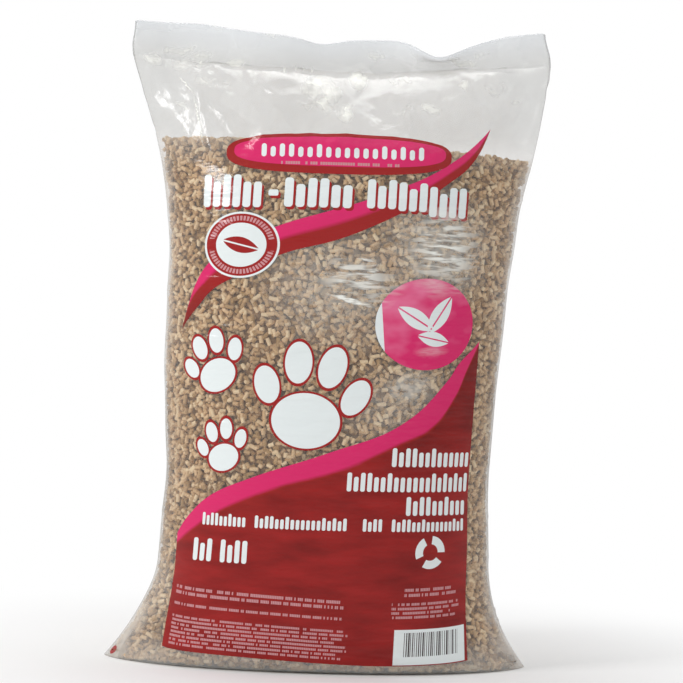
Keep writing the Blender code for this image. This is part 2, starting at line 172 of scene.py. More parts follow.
@dataclass(frozen=True)
class SackForm:
    """Sizes of the filled sack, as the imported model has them, and its sections."""

    lay_flat_width: float = 0.419
    weld_height: float = 0.607
    weld_sag: float = 0.013
    weld_band: float = 0.005
    flange_height: float = 0.028
    flange_narrowing: float = 0.004
    shoulder_drop: float = 0.205
    foot_depth: float = 0.184
    belly_depth: float = 0.201
    belly_height: float = 0.170
    shoulder_depth: float = 0.178
    foot_edge_radius: float = 0.016
    ear_reach: float = 0.042
    ear_height: float = 0.105
    lean_angle: float = math.radians(1.95)
    lean_return: float = 0.016
    lean_return_drop: float = 0.117
    lean_return_length: float = 0.190
    wave_depth: float = 0.007
    wave_length: float = 0.190
    wave_shift: float = 0.6
    gather_depth: float = 0.0030
    gather_length: float = 0.067
    curl_place: float = 0.098
    curl_width: float = 0.026
    curl_throw: float = 0.011
    edge_dips: tuple[tuple[float, float, float], ...] = (  # of the top edge: place, width, drop
        (0.096, 0.024, 0.0165), (0.125, 0.032, 0.009), (-0.019, 0.022, 0.006),
        (-0.141, 0.045, -0.0055))
    side_bulges: tuple[tuple[int, float, float, float], ...] = (  # side, height, reach, push
        (1, 0.115, 0.055, 0.0050), (1, 0.415, 0.030, 0.0032), (-1, 0.190, 0.032, 0.0030),
        (-1, 0.295, 0.035, -0.0030), (-1, 0.085, 0.030, 0.0022))
    bulge_power: float = 6.0
    corner_width: float = 0.011
    corner_drop: float = 0.0035
    slack_drop: float = 0.122
    litter_drop: float = 0.0985
    litter_slope: float = math.radians(2.2)
    litter_crown: float = 0.007
    power_across: float = 2.2
    foot_power_deep: float = 1.65
    body_power_deep: float = 1.95
    weld_power_deep: float = 1.25
    closing_start_power: float = 1.60
    closing_end_power: float = 0.56
    flange_gap: float = 0.00035
    outline_samples: int = 90
    halvings: int = 30

    @property
    def shoulder_height(self) -> float:
        """Height at which the sack starts to close towards its weld."""
        return self.weld_height - self.shoulder_drop

    @property
    def band_height(self) -> float:
        """Height of the weld's lower edge."""
        return self.weld_height - self.weld_band

    @property
    def girth(self) -> float:
        """Length of film round the sack."""
        return 2 * self.lay_flat_width

    def closing_share(self, height: float) -> float:
        """How far the sack has closed: 0 at the shoulder, 1 at the weld."""
        span = self.band_height - self.shoulder_height
        return min(max((height - self.shoulder_height) / span, 0.0), 1.0)

    def half_depth(self, height: float) -> float:
        """Half of the front-to-back depth of the sack's body."""
        if height < self.belly_height:
            swell = smooth_step(height, 0.0, self.belly_height)
            return mix(self.foot_depth, self.belly_depth, swell) / 2
        swell = smooth_step(height, self.belly_height, self.shoulder_height)
        depth = mix(self.belly_depth, self.shoulder_depth, swell)
        share = self.closing_share(height)
        depth *= (1.0 - share ** self.closing_start_power) ** self.closing_end_power
        return max(depth / 2, self.flange_gap)

    def outline(self, width: float, depth: float, power_deep: float) -> Array:
        """Points of a quarter section, from its fold on the side to its middle in front."""
        across = np.cos(np.linspace(0.0, math.pi / 2, self.outline_samples + 1))
        deep = np.maximum(1.0 - across ** self.power_across, 0.0) ** (1.0 / power_deep)
        return np.stack([width * across, depth * deep], axis=1)

    def half_width(self, depth: float, power_deep: float) -> float:
        """Half width at which a section of this depth uses up the whole tube of film."""
        low, high = 0.0, self.lay_flat_width / 2
        for _ in range(self.halvings):
            middle = (low + high) / 2
            if path_lengths(self.outline(middle, depth, power_deep))[-1] < self.girth / 4:
                low = middle
            else:
                high = middle
        return low

    def quarter(self, height: float, edge_inset: float, columns: int) -> Array:
        """Quarter section as evenly spaced points, from its fold to its middle in front."""
        power_deep = mix(
            self.foot_power_deep, self.body_power_deep, smooth_step(height, 0.0, self.ear_height))
        power_deep = mix(power_deep, self.weld_power_deep, self.closing_share(height))
        depth = self.half_depth(height)
        ear = self.ear_reach * max(1.0 - height / self.ear_height, 0.0) ** 2
        width = self.half_width(depth, self.body_power_deep if ear else power_deep) + ear
        points = self.outline(width, depth - edge_inset, power_deep)
        lengths = path_lengths(points)
        even = np.linspace(0.0, lengths[-1], columns + 1)
        return np.stack([np.interp(even, lengths, points[:, axis]) for axis in (0, 1)], axis=1)

    def lean(self, height: Array | float) -> Array | float:
        """How far the middle of a section stands to the side of the foot's middle."""
        start = self.weld_height - self.lean_return_drop
        back = smooth_step(height, start, start + self.lean_return_length)
        return math.tan(self.lean_angle) * height - self.lean_return * back

    def ring(self, height: float, edge_inset: float, columns: int) -> tuple[Array, float]:
        """One closed ring of the film, starting at its right-hand fold.

        Args:
            height: where the section is taken.
            edge_inset: how far the foot's rounded edge stands in there.
            columns: steps in a quarter of the ring.

        Returns:
            The ring's points and the length of a quarter of it.
        """
        quarter = self.quarter(min(height, self.weld_height), edge_inset, columns)
        length = path_lengths(quarter)[-1]
        top = self.weld_height + self.flange_height
        narrowing = self.flange_narrowing * smooth_step(height, self.weld_height, top)
        quarter[:, 0] *= 1.0 - narrowing / quarter[0, 0]
        quarter[1:, 1] = np.maximum(quarter[1:, 1], self.flange_gap)
        quarter[0, 1] = 0.0
        back_up = quarter[:0:-1]
        across = np.concatenate([quarter[:-1, 0], -back_up[:, 0], -quarter[:-1, 0], back_up[:, 0]])
        deep = np.concatenate([-quarter[:-1, 1], -back_up[:, 1], quarter[:-1, 1], back_up[:, 1]])
        return self.loosened(across, deep, height), length

    def loosened(self, across: Array, deep: Array, height: float) -> Array:
        """Wave and gather the film at a section's points, and sag the weld."""
        loose = smooth_step(height, self.weld_height - self.slack_drop, self.weld_height)
        flange = smooth_step(height, self.weld_height, self.weld_height + self.flange_height)
        wave = self.wave_depth * np.sin(WHOLE_TURN * across / self.wave_length + self.wave_shift)
        gather = self.gather_depth * np.cos(WHOLE_TURN * across / self.gather_length)
        gather *= np.clip(deep / self.wave_depth, -1.0, 1.0)
        curl = np.exp(-((across - self.curl_place) / self.curl_width) ** 2) * flange
        outward = np.minimum(np.abs(across) / (self.lay_flat_width / 2), 1.0)
        drop = self.weld_sag * (1.0 - outward ** 2) * loose
        for place, width, depth in self.edge_dips:
            drop = drop + depth * flange * np.exp(-((across - place) / width) ** 2)
        inner = 1.0 - self.corner_width / (self.lay_flat_width / 2)
        drop = drop + self.corner_drop * flange * smooth_step(outward, inner, 1.0) ** 2
        shift = (wave + gather) * loose - self.curl_throw * curl
        near_fold = (np.abs(across) / np.abs(across).max()) ** self.bulge_power
        pushed = across + self.lean(height)
        for side, place, reach, push in self.side_bulges:
            level = math.exp(-((height - place) / reach) ** 2)
            pushed = pushed + push * level * near_fold * (np.sign(across) == side)
        return np.stack([pushed, deep + shift, height - drop], axis=1)

    def litter_level(self, across: Array) -> Array:
        """Height of the litter's top, at a place across the middle of the foot."""
        level = self.weld_height - self.litter_drop
        middle = self.lean(level)
        return level - np.tan(self.litter_slope) * (across - middle)


def path_lengths(points: Array) -> Array:
    """Distance travelled at each point of a line through points."""
    steps = np.linalg.norm(np.diff(points, axis=0), axis=1)
    return np.concatenate([[0.0], np.cumsum(steps)])


@dataclass(frozen=True)
class Crease:
    """A fold of the film: its line, how wide its flanks are and how far it stands out."""

    line: Line
    flank: float
    rise: float

    def lift(self, across: Array, up: Array, girth: float) -> Array:
        """How far the film stands out at each place, in millimetres.

        Args:
            across: places across, in millimetres.
            up: heights, in millimetres.
            girth: length of film round the sack, in millimetres.

        Returns:
            The lift at each place.
        """
        total = sum(math.dist(a, b) for a, b in zip(self.line, self.line[1:]))
        nearest = np.full(across.shape, np.inf)
        along = np.zeros(across.shape)
        walked = 0.0
        for start, end in zip(self.line, self.line[1:]):
            length = math.dist(start, end)
            aim = ((end[0] - start[0]) / length, (end[1] - start[1]) / length)
            off_across = (across - start[0] + girth / 2) % girth - girth / 2
            off_up = up - start[1]
            reach = np.clip(off_across * aim[0] + off_up * aim[1], 0.0, length)
            away = np.hypot(off_across - reach * aim[0], off_up - reach * aim[1])
            closer = away < nearest
            nearest = np.where(closer, away, nearest)
            along = np.where(closer, (walked + reach) / total, along)
            walked += length
        fade = np.sqrt(np.clip(4 * along * (1 - along), 0.0, 1.0))
        return self.rise * fade * np.exp(-nearest / self.flank)


@dataclass
class FilmSurface:
    """The film's face as a grid of points, from the seam under the foot to the top edge."""

    form: SackForm
    columns: int = 60
    pitch: float = 0.0036
    bottom_rows: int = 7
    edge_rows: int = 7
    weld_rows: int = 2
    flange_rows: int = 8
    swell: float = 0.0018  # lumps of the litter under the film
    swell_length: float = 0.085
    swell_start: Point = (0.02, 0.10)       # heights over which the lumps grow
    swell_end: Point = (0.47, 0.56)         # and fade again
    profile_samples: int = 1200

    def __post_init__(self) -> None:
        """Loft the sections and lump the body a little."""
        edge = self.form.foot_edge_radius
        turns = [math.pi / 2 * row / self.edge_rows for row in range(self.edge_rows + 1)]
        steps = [(edge * (1 - math.cos(turn)), edge * (1 - math.sin(turn))) for turn in turns]
        steps += [(height, 0.0) for height in self.body_heights()]
        rises = [height for height, _ in steps]
        rings = [self.form.ring(*step, self.columns) for step in steps]
        places, lengths = map(list, zip(*rings))
        under = [flattened(places[0]) * (1 - share) + places[0] * share
                 for share in np.linspace(0.0, 1.0, self.bottom_rows, endpoint=False)]
        places = under + places + [flattened(places[-1])]
        lengths = [lengths[0]] * len(under) + lengths + [lengths[-1]]
        rises = [0.0] * len(under) + rises + [rises[-1]]
        self.places = np.array(places)
        self.rises = np.array(rises)
        turns = 1.0 - np.arange(4 * self.columns + 1) / self.columns
        self.across = np.array(lengths)[:, None] * turns[None, :]
        middle = (self.places[:, :, 0].max() + self.places[:, :, 0].min()) / 2
        self.places[:, :, 0] -= middle
        self.normals = self.face_normals()
        self.lump()
        self.normals = self.face_normals()

    def body_heights(self) -> list[float]:
        """Heights of the rows above the foot's edge, a pitch apart along the film."""
        form = self.form
        heights = np.linspace(form.foot_edge_radius, form.band_height, self.profile_samples)
        profile = np.stack([[form.half_depth(height) for height in heights], heights], axis=1)
        lengths = path_lengths(profile)
        rows = round(lengths[-1] / self.pitch)
        body = np.interp(np.linspace(0.0, lengths[-1], rows + 1)[1:], lengths, heights)
        weld = np.linspace(form.band_height, form.weld_height, self.weld_rows + 1)[1:]
        top = form.weld_height + form.flange_height
        flange = np.linspace(form.weld_height, top, self.flange_rows + 1)[1:]
        return [float(height) for height in np.concatenate([body, weld, flange])]

    def face_normals(self) -> Array:
        """Outward directions at the grid's points."""
        along_ring = np.roll(self.places, -1, axis=1) - np.roll(self.places, 1, axis=1)
        along_rows = np.gradient(self.places, axis=0)
        normals = np.cross(along_rows, along_ring)
        lengths = np.linalg.norm(normals, axis=2, keepdims=True)
        return normals / np.maximum(lengths, 1e-12)

    def lump(self) -> None:
        """Swell the body where the litter bulges, and leave the foot and the top alone."""
        up = self.places[:, :, 2]
        share = smooth_step(up, *self.swell_start) * (1 - smooth_step(up, *self.swell_end))
        wave = np.array([[noise.noise(Vector(place) / self.swell_length) for place in row]
                         for row in self.places])
        self.places = self.places + self.normals * (wave * share * self.swell)[:, :, None]

    def at(self, turn: Array, row: Array, depth: Array) -> Array:
        """Places inside the film.

        Args:
            turn: place round the ring, as a share of it, from the right-hand fold.
            row: row of the grid, with its fraction.
            depth: distance inwards from the film's face.

        Returns:
            One point for each place.
        """
        count = 4 * self.columns
        column = (turn % 1.0) * count
        low = np.clip(np.floor(row).astype(int), 0, len(self.places) - 2)
        left = np.floor(column).astype(int) % count
        right = (left + 1) % count
        up_share = np.clip(row - low, 0.0, 1.0)[:, None]
        side_share = (column - np.floor(column))[:, None]
        found = []
        for grid in (self.places, self.normals):
            lower = grid[low, left] * (1 - side_share) + grid[low, right] * side_share
            upper = grid[low + 1, left] * (1 - side_share) + grid[low + 1, right] * side_share
            found.append(lower * (1 - up_share) + upper * up_share)
        return found[0] - found[1] * depth[:, None]


def flattened(ring: Array) -> Array:
    """The line on which the front and the back of a ring meet."""
    mirrored = ring[(-np.arange(len(ring))) % len(ring)]
    return (ring + mirrored) / 2


def meshed(name: str, shape: bmesh.types.BMesh) -> bpy.types.Mesh:
    """Turn a finished shape into a mesh."""
    mesh = bpy.data.meshes.new(name)
    shape.to_mesh(mesh)
    shape.free()
    return mesh


def put(name: str, mesh: bpy.types.Mesh) -> bpy.types.Object:
    """Put a mesh into the scene as a piece of the sack.

    Args:
        name: the piece's name.
        mesh: its mesh, already in place.

    Returns:
        The new object.
    """
    piece = bpy.data.objects.new(name, mesh)
    bpy.context.scene.collection.objects.link(piece)
    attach(piece, ROOT)
    LOG.info("%s: %d vertices, %d faces", name, len(mesh.vertices), len(mesh.polygons))
    return piece


class Zone(Enum):
    """Stretches of the film's outer face, from one height to another in millimetres.

    The clear stretch is the film above the print, and the whole back besides.
    """

    CLEAR = (535.0, 700.0)
    UPPER = (235.0, 535.0)
    LOWER = (0.0, 235.0)

    @property
    def slot(self) -> int:
        """Number of the finish on the film's mesh."""
        return list(Zone).index(self)

    def overlaps(self, up: float, reach: float) -> bool:
        """Whether something at a height reaches into the stretch."""
        low, high = self.value
        return low - reach < up < high + reach

    @classmethod
    def of(cls, across: float, up: float, front_half: float) -> "Zone":
        """The stretch in which a place lies, all three lengths in millimetres."""
        if abs(across) > front_half:
            return cls.CLEAR
        return next((zone for zone in cls if zone.value[0] <= up < zone.value[1]), cls.CLEAR)


class Side(Enum):
    """Which half of the sack a fold lies on, and how far round that is from the front."""

    FRONT = 0.0
    BACK = -0.5


@dataclass
class CreaseMaker:
    """The folds of the film: the ones that show most, and seeded smaller ones."""

    girth: float
    seed: int = 7
    weld_line: float = 598.0
    weld_sag: float = 13.0
    corner: float = 200.0
    bend: float = 0.12  # of a fold's length
    head_heights: Point = (505, 600)
    head_lengths: Point = (14, 60)
    head_flanks: Point = (2.5, 7.5)
    head_rises: Point = (0.5, 1.9)
    head_stray: float = 0.75            # of a fold's angle, in radians
    sunk_share: float = 0.35            # of the headspace's folds that go inwards
    pucker_steps: Point = (0.5, 1.6)    # shares of the pitch
    pucker_lengths: Point = (8, 34)
    pucker_flanks: Point = (1.6, 3.2)
    pucker_rises: Point = (0.3, 1.0)
    pucker_stray: float = 0.16
    side: float = 205.0
    body_heights: Point = (60, 500)
    body_lengths: Point = (18, 75)
    body_flanks: Point = (1.8, 3.6)
    body_rises: Point = (0.25, 0.75)
    body_stray: float = 0.22

    def __post_init__(self) -> None:
        """Start the seeded choice."""
        self.random = np.random.default_rng(self.seed)

    def fold(self, middle: Point, length: float, angle: float, flank: float,
             rise: float) -> Crease:
        """A single fold, bent a little at its middle."""
        aim = (math.cos(angle), math.sin(angle))
        bend = self.random.uniform(-self.bend, self.bend) * length
        line = tuple((middle[0] + aim[0] * along - aim[1] * off,
                      middle[1] + aim[1] * along + aim[0] * off)
                     for along, off in ((-length / 2, 0.0), (0.0, bend), (length / 2, 0.0)))
        return Crease(line, flank, rise)

    def headspace(self, side: Side, count: int = 70) -> list[Crease]:
        """Folds of the empty film above the litter, in all directions."""
        folds = []
        draw = self.random.uniform
        for _ in range(count):
            across = draw(-self.corner, self.corner) + side.value * self.girth
            up = draw(*self.head_heights)
            angle = self.random.normal(math.pi / 2, self.head_stray)
            length = draw(*self.head_lengths)
            rise = draw(*self.head_rises)
            rise *= self.random.choice((-1, 1), p=(self.sunk_share, 1 - self.sunk_share))
            flank = draw(*self.head_flanks)
            folds.append(self.fold((across, up), length, angle, flank, rise))
        return folds

    def puckers(self, side: Side, pitch: float = 9.0) -> list[Crease]:
        """Short upright folds that run down from the weld."""
        folds = []
        draw = self.random.uniform
        across = -self.corner
        while across < self.corner:
            across += draw(*self.pucker_steps) * pitch
            length = draw(*self.pucker_lengths)
            top = self.weld_line - self.weld_sag * (1 - (across / self.corner) ** 2)
            middle = (across + side.value * self.girth, top - length / 2)
            angle = math.pi / 2 + self.random.normal(0.0, self.pucker_stray)
            flank = draw(*self.pucker_flanks)
            rise = draw(*self.pucker_rises)
            folds.append(self.fold(middle, length, angle, flank, rise))
        return folds

    def body(self, side: Side, count: int = 90) -> list[Crease]:
        """Shallow, mostly level folds of the film over the litter."""
        folds = []
        draw = self.random.uniform
        for _ in range(count):
            across = draw(-self.side, self.side) + side.value * self.girth
            up = draw(*self.body_heights)
            length = draw(*self.body_lengths)
            angle = self.random.normal(0.0, self.body_stray)
            flank = draw(*self.body_flanks)
            rise = draw(*self.body_rises)
            folds.append(self.fold((across, up), length, angle, flank, rise))
        return folds

    def shown(self) -> list[Crease]:
        """The folds that catch the light on the front."""
        return [
            Crease(((-163, 582), (-148, 564), (-139, 520), (-133, 499), (-113, 482)), 3.0, 2.6),
            Crease(((-196, 590), (-176, 566), (-168, 540)), 5.0, 2.2),
            Crease(((-190, 548), (-172, 538), (-160, 520)), 5.0, 1.8),
            Crease(((98, 622), (120, 588), (135, 566)), 4.0, 2.4),
            Crease(((196, 560), (168, 540), (150, 512)), 5.5, 1.9),
            Crease(((200, 596), (176, 586), (150, 592)), 4.5, 1.6),
            Crease(((40, 575), (58, 556), (66, 530)), 5.0, 1.7),
            Crease(((95, 566), (112, 548), (118, 520)), 5.5, 1.8),
            Crease(((-4, 351), (30, 340), (52, 336)), 2.4, 1.3),
            Crease(((-4, 362), (24, 360), (44, 366)), 2.4, 0.9),
            Crease(((60, 420), (98, 425), (130, 421)), 2.6, 1.1),
            Crease(((70, 404), (104, 408), (138, 402)), 2.6, 1.0),
            Crease(((64, 390), (92, 393), (120, 388)), 2.4, 0.9),
            Crease(((12, 385), (34, 380), (50, 384)), 2.4, 0.8),
            Crease(((180, 70), (196, 50), (206, 26)), 3.2, 1.6),
            Crease(((168, 64), (182, 44), (190, 20)), 3.0, 1.2),
            Crease(((-188, 84), (-200, 60), (-212, 30)), 3.4, 1.4),
        ]

    def all(self) -> list[Crease]:
        """Every fold of the sack."""
        folds = self.shown()
        for side in Side:
            folds += self.headspace(side) + self.puckers(side) + self.body(side)
        return folds


@dataclass
class FilmBag:
    """The sack's film: its mesh, its folds and its print."""

    form: SackForm
    surface: FilmSurface
    name: str = "film_sack"
    wall: float = 0.0002
    free_share: float = 0.35        # how much of the space to the other wall a fold may use
    flutter: float = 0.0013         # ripple that both walls share at the weld
    flutter_length: float = 0.034
    flutter_drop: float = 0.03      # below the weld, where the ripple starts
    head_heights: Point = (500.0, 530.0)    # millimetres: where folds may grow deeper
    foot_heights: Point = (2.0, 18.0)       # and where they fade out above the floor
    body_limit: float = 4.0                 # highest fold over the litter

    def folded(self) -> Array:
        """The film's points with all its folds."""
        surface = self.surface
        up = surface.places[:, :, 2] / MM
        across = surface.across[:, :-1] / MM
        girth = self.form.girth / MM
        lift = np.zeros(up.shape)
        for crease in CreaseMaker(girth).all():
            lift += crease.lift(across, up, girth)
        depth = np.array([self.form.half_depth(min(rise, self.form.band_height))
                          for rise in surface.rises])[:, None]
        head = smooth_step(up, *self.head_heights)
        lowest = -self.free_share * depth / MM * head
        highest = mix(self.body_limit, self.free_share * depth / MM, head)
        lift = np.clip(lift, lowest, highest) * smooth_step(up, *self.foot_heights)
        places = surface.places + surface.normals * (lift * MM)[:, :, None]
        places[:, :, 1] += self.rippled(surface)
        return places

    def rippled(self, surface: FilmSurface) -> Array:
        """Ripple of the weld and the flange, the same on the front and the back."""
        form = self.form
        start = form.weld_height - self.flutter_drop
        share = smooth_step(surface.rises, start, form.weld_height)
        pace = 1 / self.flutter_length
        wave = np.array([[noise.noise(Vector((place[0] * pace, 0.0, rise * pace / 2)))
                          for place in row] for row, rise in zip(surface.places, surface.rises)])
        return wave * share[:, None] * self.flutter

    def mesh(self) -> bpy.types.Mesh:
        """Grid of film bent round the sack, with its map and its heights."""
        places = self.folded()
        rows, columns = places.shape[:2]
        shape = bmesh.new()
        film_map = shape.loops.layers.uv.new(FILM_MAP)
        rise_layer = shape.verts.layers.float.new(RISE)
        bmesh.ops.create_grid(shape, x_segments=columns, y_segments=rows - 1, size=1.0)
        spots = {vert: (round((vert.co.y + 1) / 2 * (rows - 1)),
                        round((vert.co.x + 1) / 2 * columns)) for vert in shape.verts}
        for face in shape.faces:
            for loop in face.loops:
                row, column = spots[loop.vert]
                height = self.surface.places[row, column % columns, 2]
                loop[film_map].uv = (self.surface.across[row, column], height)
            middle = sum((loop[film_map].uv for loop in face.loops), Vector((0.0, 0.0))) / 4 / MM
            front_half = self.surface.across[row, 0] / MM
            face.material_index = Zone.of(*middle, front_half).slot
        for vert, (row, column) in spots.items():
            vert.co = places[row, column % columns]
            vert[rise_layer] = self.surface.rises[row]
        bmesh.ops.remove_doubles(shape, verts=shape.verts, dist=1e-6)
        bmesh.ops.recalc_face_normals(shape, faces=shape.faces)
        mesh = meshed(self.name, shape)
        mesh.shade_smooth()
        return mesh

    def build(self) -> bpy.types.Object:
        """Make the film, give it its wall and its finishes, and let it stand for the model's."""
        piece = put(self.name, self.mesh())
        for zone in Zone:
            piece.data.materials.append(OuterFilm(self.form, zone=zone).material())
        piece.data.materials.append(InnerFilm(self.form).material())
        wall = piece.modifiers.new("wall", 'SOLIDIFY')
        wall.thickness = self.wall
        wall.offset = -1.0
        wall.material_offset = len(Zone)
        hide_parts("film_bag")
        return piece


@dataclass(frozen=True)
class FilmLook:
    """What both faces of the film share: blown low-density polyethylene.

    It is clear and mirrors more at a glancing angle. Where it is slack, folded or folded
    under it scatters light, and its creases catch the lamps. Lengths are in metres.
    """

    form: SackForm
    tint: str = "#fefefe"
    milk: str = "#e0e0dd"
    gloss_roughness: float = 0.16
    milk_roughness: float = 0.5
    head_on_gloss: float = 0.024
    grazing_gloss: float = 0.33
    grazing_power: float = 2.6
    slack_from: float = 0.485  # heights between which the film leaves the litter
    slack_to: float = 0.530
    tight_haze: float = 0.03  # shares of the light that the film scatters
    slack_haze: float = 0.22
    foot_haze: float = 0.26
    fold_haze: float = 0.52
    weld_haze: float = 0.02
    foot_reach: float = 0.035
    fold_reach: float = 0.034
    # painted sheen towards the top edge: paler and bluer than the milk
    flange_sheen: str = "#f0f4f8"
    # painted sheen of the glancing view along the side folds over the litter
    fold_sheen: str = "#e6dfd6"
    fold_sheen_strength: float = 2.0  # of the painted sheen's colour, against its share along the folds
    fold_sheen_size: float = 0.0238
    fold_sheen_contrast: float = 3.0
    fold_sheen_base: float = -0.70
    weld_fade: float = 0.012        # below the weld, where the crumples end
    pucker_reach: float = 0.05      # below the weld, where the puckers start
    streak_size: tuple[float, float, float] = (0.0417, 0.0417, 0.008)
    pucker_size: tuple[float, float, float] = (0.005263, 0.005263, 0.0556)
    warp_size: float = 0.0357
    warp_reach: float = 0.03
    facet_size: float = 0.0294
    shard_size: float = 0.01042
    press_size: float = 0.004762  # dents of single pellets in the tight film
    shard_share: float = 0.16
    streak_height: float = 1.5  # millimetres, as are the next three
    crumple_height: float = 4.2
    pucker_height: float = 1.4
    press_height: float = 0.22

    def shader(self, finish: Finish, colour: Socket | Colour, cover: Socket | float,
               bump: Socket | None = None) -> Socket:
        """The film's shader.

        Args:
            finish: the material under construction.
            colour: what lies on or in the film.
            cover: how much of the light that stops.
            bump: the film's unevenness, if it has its own.

        Returns:
            The shader.
        """
        add = finish.add
        clear = add("BsdfTransparent", (linear(self.tint),))
        stuff = add("BsdfPrincipled", {"Base Color": colour, "Normal": bump,
                                              "Roughness": self.milk_roughness,
                                              "Specular IOR Level": 0.0})
        body = add("MixShader", (cover, clear, stuff))
        shine = add("BsdfGlossy", {"Roughness": self.gloss_roughness, "Normal": bump})
        body = add("MixShader", (self.head_on_gloss, body, shine))
        facing = add("LayerWeight", output="Facing")
        steep = add("Math", (facing, self.grazing_power), 'POWER')
        edge = finish.product(steep, self.grazing_gloss)
        rim = add("BsdfGlossy", {"Roughness": self.gloss_roughness})
        return add("MixShader", (edge, body, rim))

    def slack(self, finish: Finish) -> Socket:
        """How far the film has left the litter, from 0 to 1."""
        rise = finish.add("Attribute", attribute_name=RISE, output="Fac")
        return finish.add("MapRange", (rise, self.slack_from, self.slack_to))

    def fold(self, finish: Finish) -> Socket:
        """How far the film over the litter takes its painted sheen and its haze along its side
        folds, from 0 to 1.
        """
        add = finish.add
        across = add("SeparateXYZ", (add("UVMap", uv_map=FILM_MAP),), output="X")
        quarter = self.form.girth / 4
        away = add("Math", (across, quarter), 'ADD')
        away = add("Math", (away,), 'ABSOLUTE')
        away = add("Math", (away, quarter), 'SUBTRACT')
        away = add("Math", (away,), 'ABSOLUTE')
        near = add("Math", (away, 1 / self.fold_reach, 1 - quarter / self.fold_reach),
                   'MULTIPLY_ADD', use_clamp=True)
        place = add("TexCoord", output="Object")
        patchy = add("TexNoise", {"Vector": place, "Scale": 1 / self.fold_sheen_size})
        patchy = add(
            "Math", (patchy, self.fold_sheen_contrast, self.fold_sheen_base), 'MULTIPLY_ADD', use_clamp=True)
        tight = add("Math", (1.0, self.slack(finish)), 'SUBTRACT')
        return finish.product(near, patchy, tight)

    def haze(self, finish: Finish, fold: Socket) -> Socket:
        """Share of the light that the bare film scatters.

        It is most where the film is slack, along the side folds, at the foot and in the weld.
        """
        add = finish.add
        rise = add("Attribute", attribute_name=RISE, output="Fac")
        haze = add("Math", (self.slack(finish), self.slack_haze - self.tight_haze,
                            self.tight_haze), 'MULTIPLY_ADD')
        foot = add("MapRange", (rise, 0.0, self.foot_reach, self.foot_haze, 0.0))
        fold = finish.product(fold, self.fold_haze)
        weld = add("Math", (rise, self.form.band_height), 'GREATER_THAN')
        haze = add("Math", (haze, foot), 'ADD')
        haze = add("Math", (haze, fold), 'MAXIMUM')
        return add("Math", (weld, self.weld_haze, haze), 'MULTIPLY_ADD')

    def bare_colour(self, finish: Finish, fold: Socket) -> Socket:
        """Colour of the bare film: a painted sheen at its side folds, and a paler painted sheen
        towards its top edge.
        """
        add = finish.add
        rise = add("Attribute", attribute_name=RISE, output="Fac")
        top = self.form.weld_height + self.form.flange_height
        share = add("MapRange", (rise, self.form.weld_height, top))
        colour = add(
            "Mix", (share, linear(self.milk), linear(self.flange_sheen)), data_type='RGBA')
        # painted sheen along the side folds
        sheened = add("Math", (fold, self.fold_sheen_strength), 'MULTIPLY', use_clamp=True)
        return add("Mix", (sheened, colour, linear(self.fold_sheen)), data_type='RGBA')

    def unevenness(self, finish: Finish) -> Socket:
        """Creases too fine for the mesh, in millimetres of height.

        Over the litter they run level. In the slack film above it they are crumpled facets,
        with upright puckers that fade below the weld.
        """
        add = finish.add
        place = add("TexCoord", output="Object")
        rise = add("Attribute", attribute_name=RISE, output="Fac")
        slack = self.slack(finish)
        tight = add("Math", (1.0, slack), 'SUBTRACT')
        streaks = finish.product(finish.cloud(place, self.streak_size), tight)
        warp = add("TexNoise", {"Vector": place, "Scale": 1 / self.warp_size, "Detail": 1.0},
                   output="Color")
        warped = add("VectorMath", (warp, [self.warp_reach] * 3, place), 'MULTIPLY_ADD')
        facets = add("TexVoronoi", {"Vector": warped, "Scale": 1 / self.facet_size})
        shards = add("TexVoronoi", {"Vector": warped, "Scale": 1 / self.shard_size})
        crumple = add("Math", (shards, self.shard_share, facets), 'MULTIPLY_ADD')
        below = add(
            "MapRange", (rise, self.form.weld_height - self.pucker_reach, self.form.band_height))
        above = add("Math", (rise, -1 / self.weld_fade, self.form.weld_height / self.weld_fade),
                    'MULTIPLY_ADD', use_clamp=True)
        puckers = finish.cloud(place, self.pucker_size, 1.0)
        puckers = finish.product(puckers, below, above)
        crumple = finish.product(crumple, slack, above)
        pressed = add("TexNoise", {"Vector": place, "Scale": 1 / self.press_size, "Detail": 1.0})
        height: Socket | float = 0.0
        for part, size in ((streaks, self.streak_height), (crumple, self.crumple_height),
                           (puckers, self.pucker_height), (pressed, self.press_height)):
            height = add("Math", (part, size, height), 'MULTIPLY_ADD')
        return add("Bump", {"Distance": MM, "Height": height})


@dataclass(frozen=True)
class InnerFilm(FilmLook):
    """Inner face of the film: clear, with no ink of its own."""

    haze_share: float = 0.8  # of the outer face's haze

    def material(self) -> bpy.types.Material:
        """Build the finish."""
        finish = Finish(bpy.data.materials.new("clear_film_inside"))
        fold = self.fold(finish)
        cover = finish.product(self.haze(finish, fold), self.haze_share)
        return finish.end(self.shader(finish, self.bare_colour(finish, fold), cover))


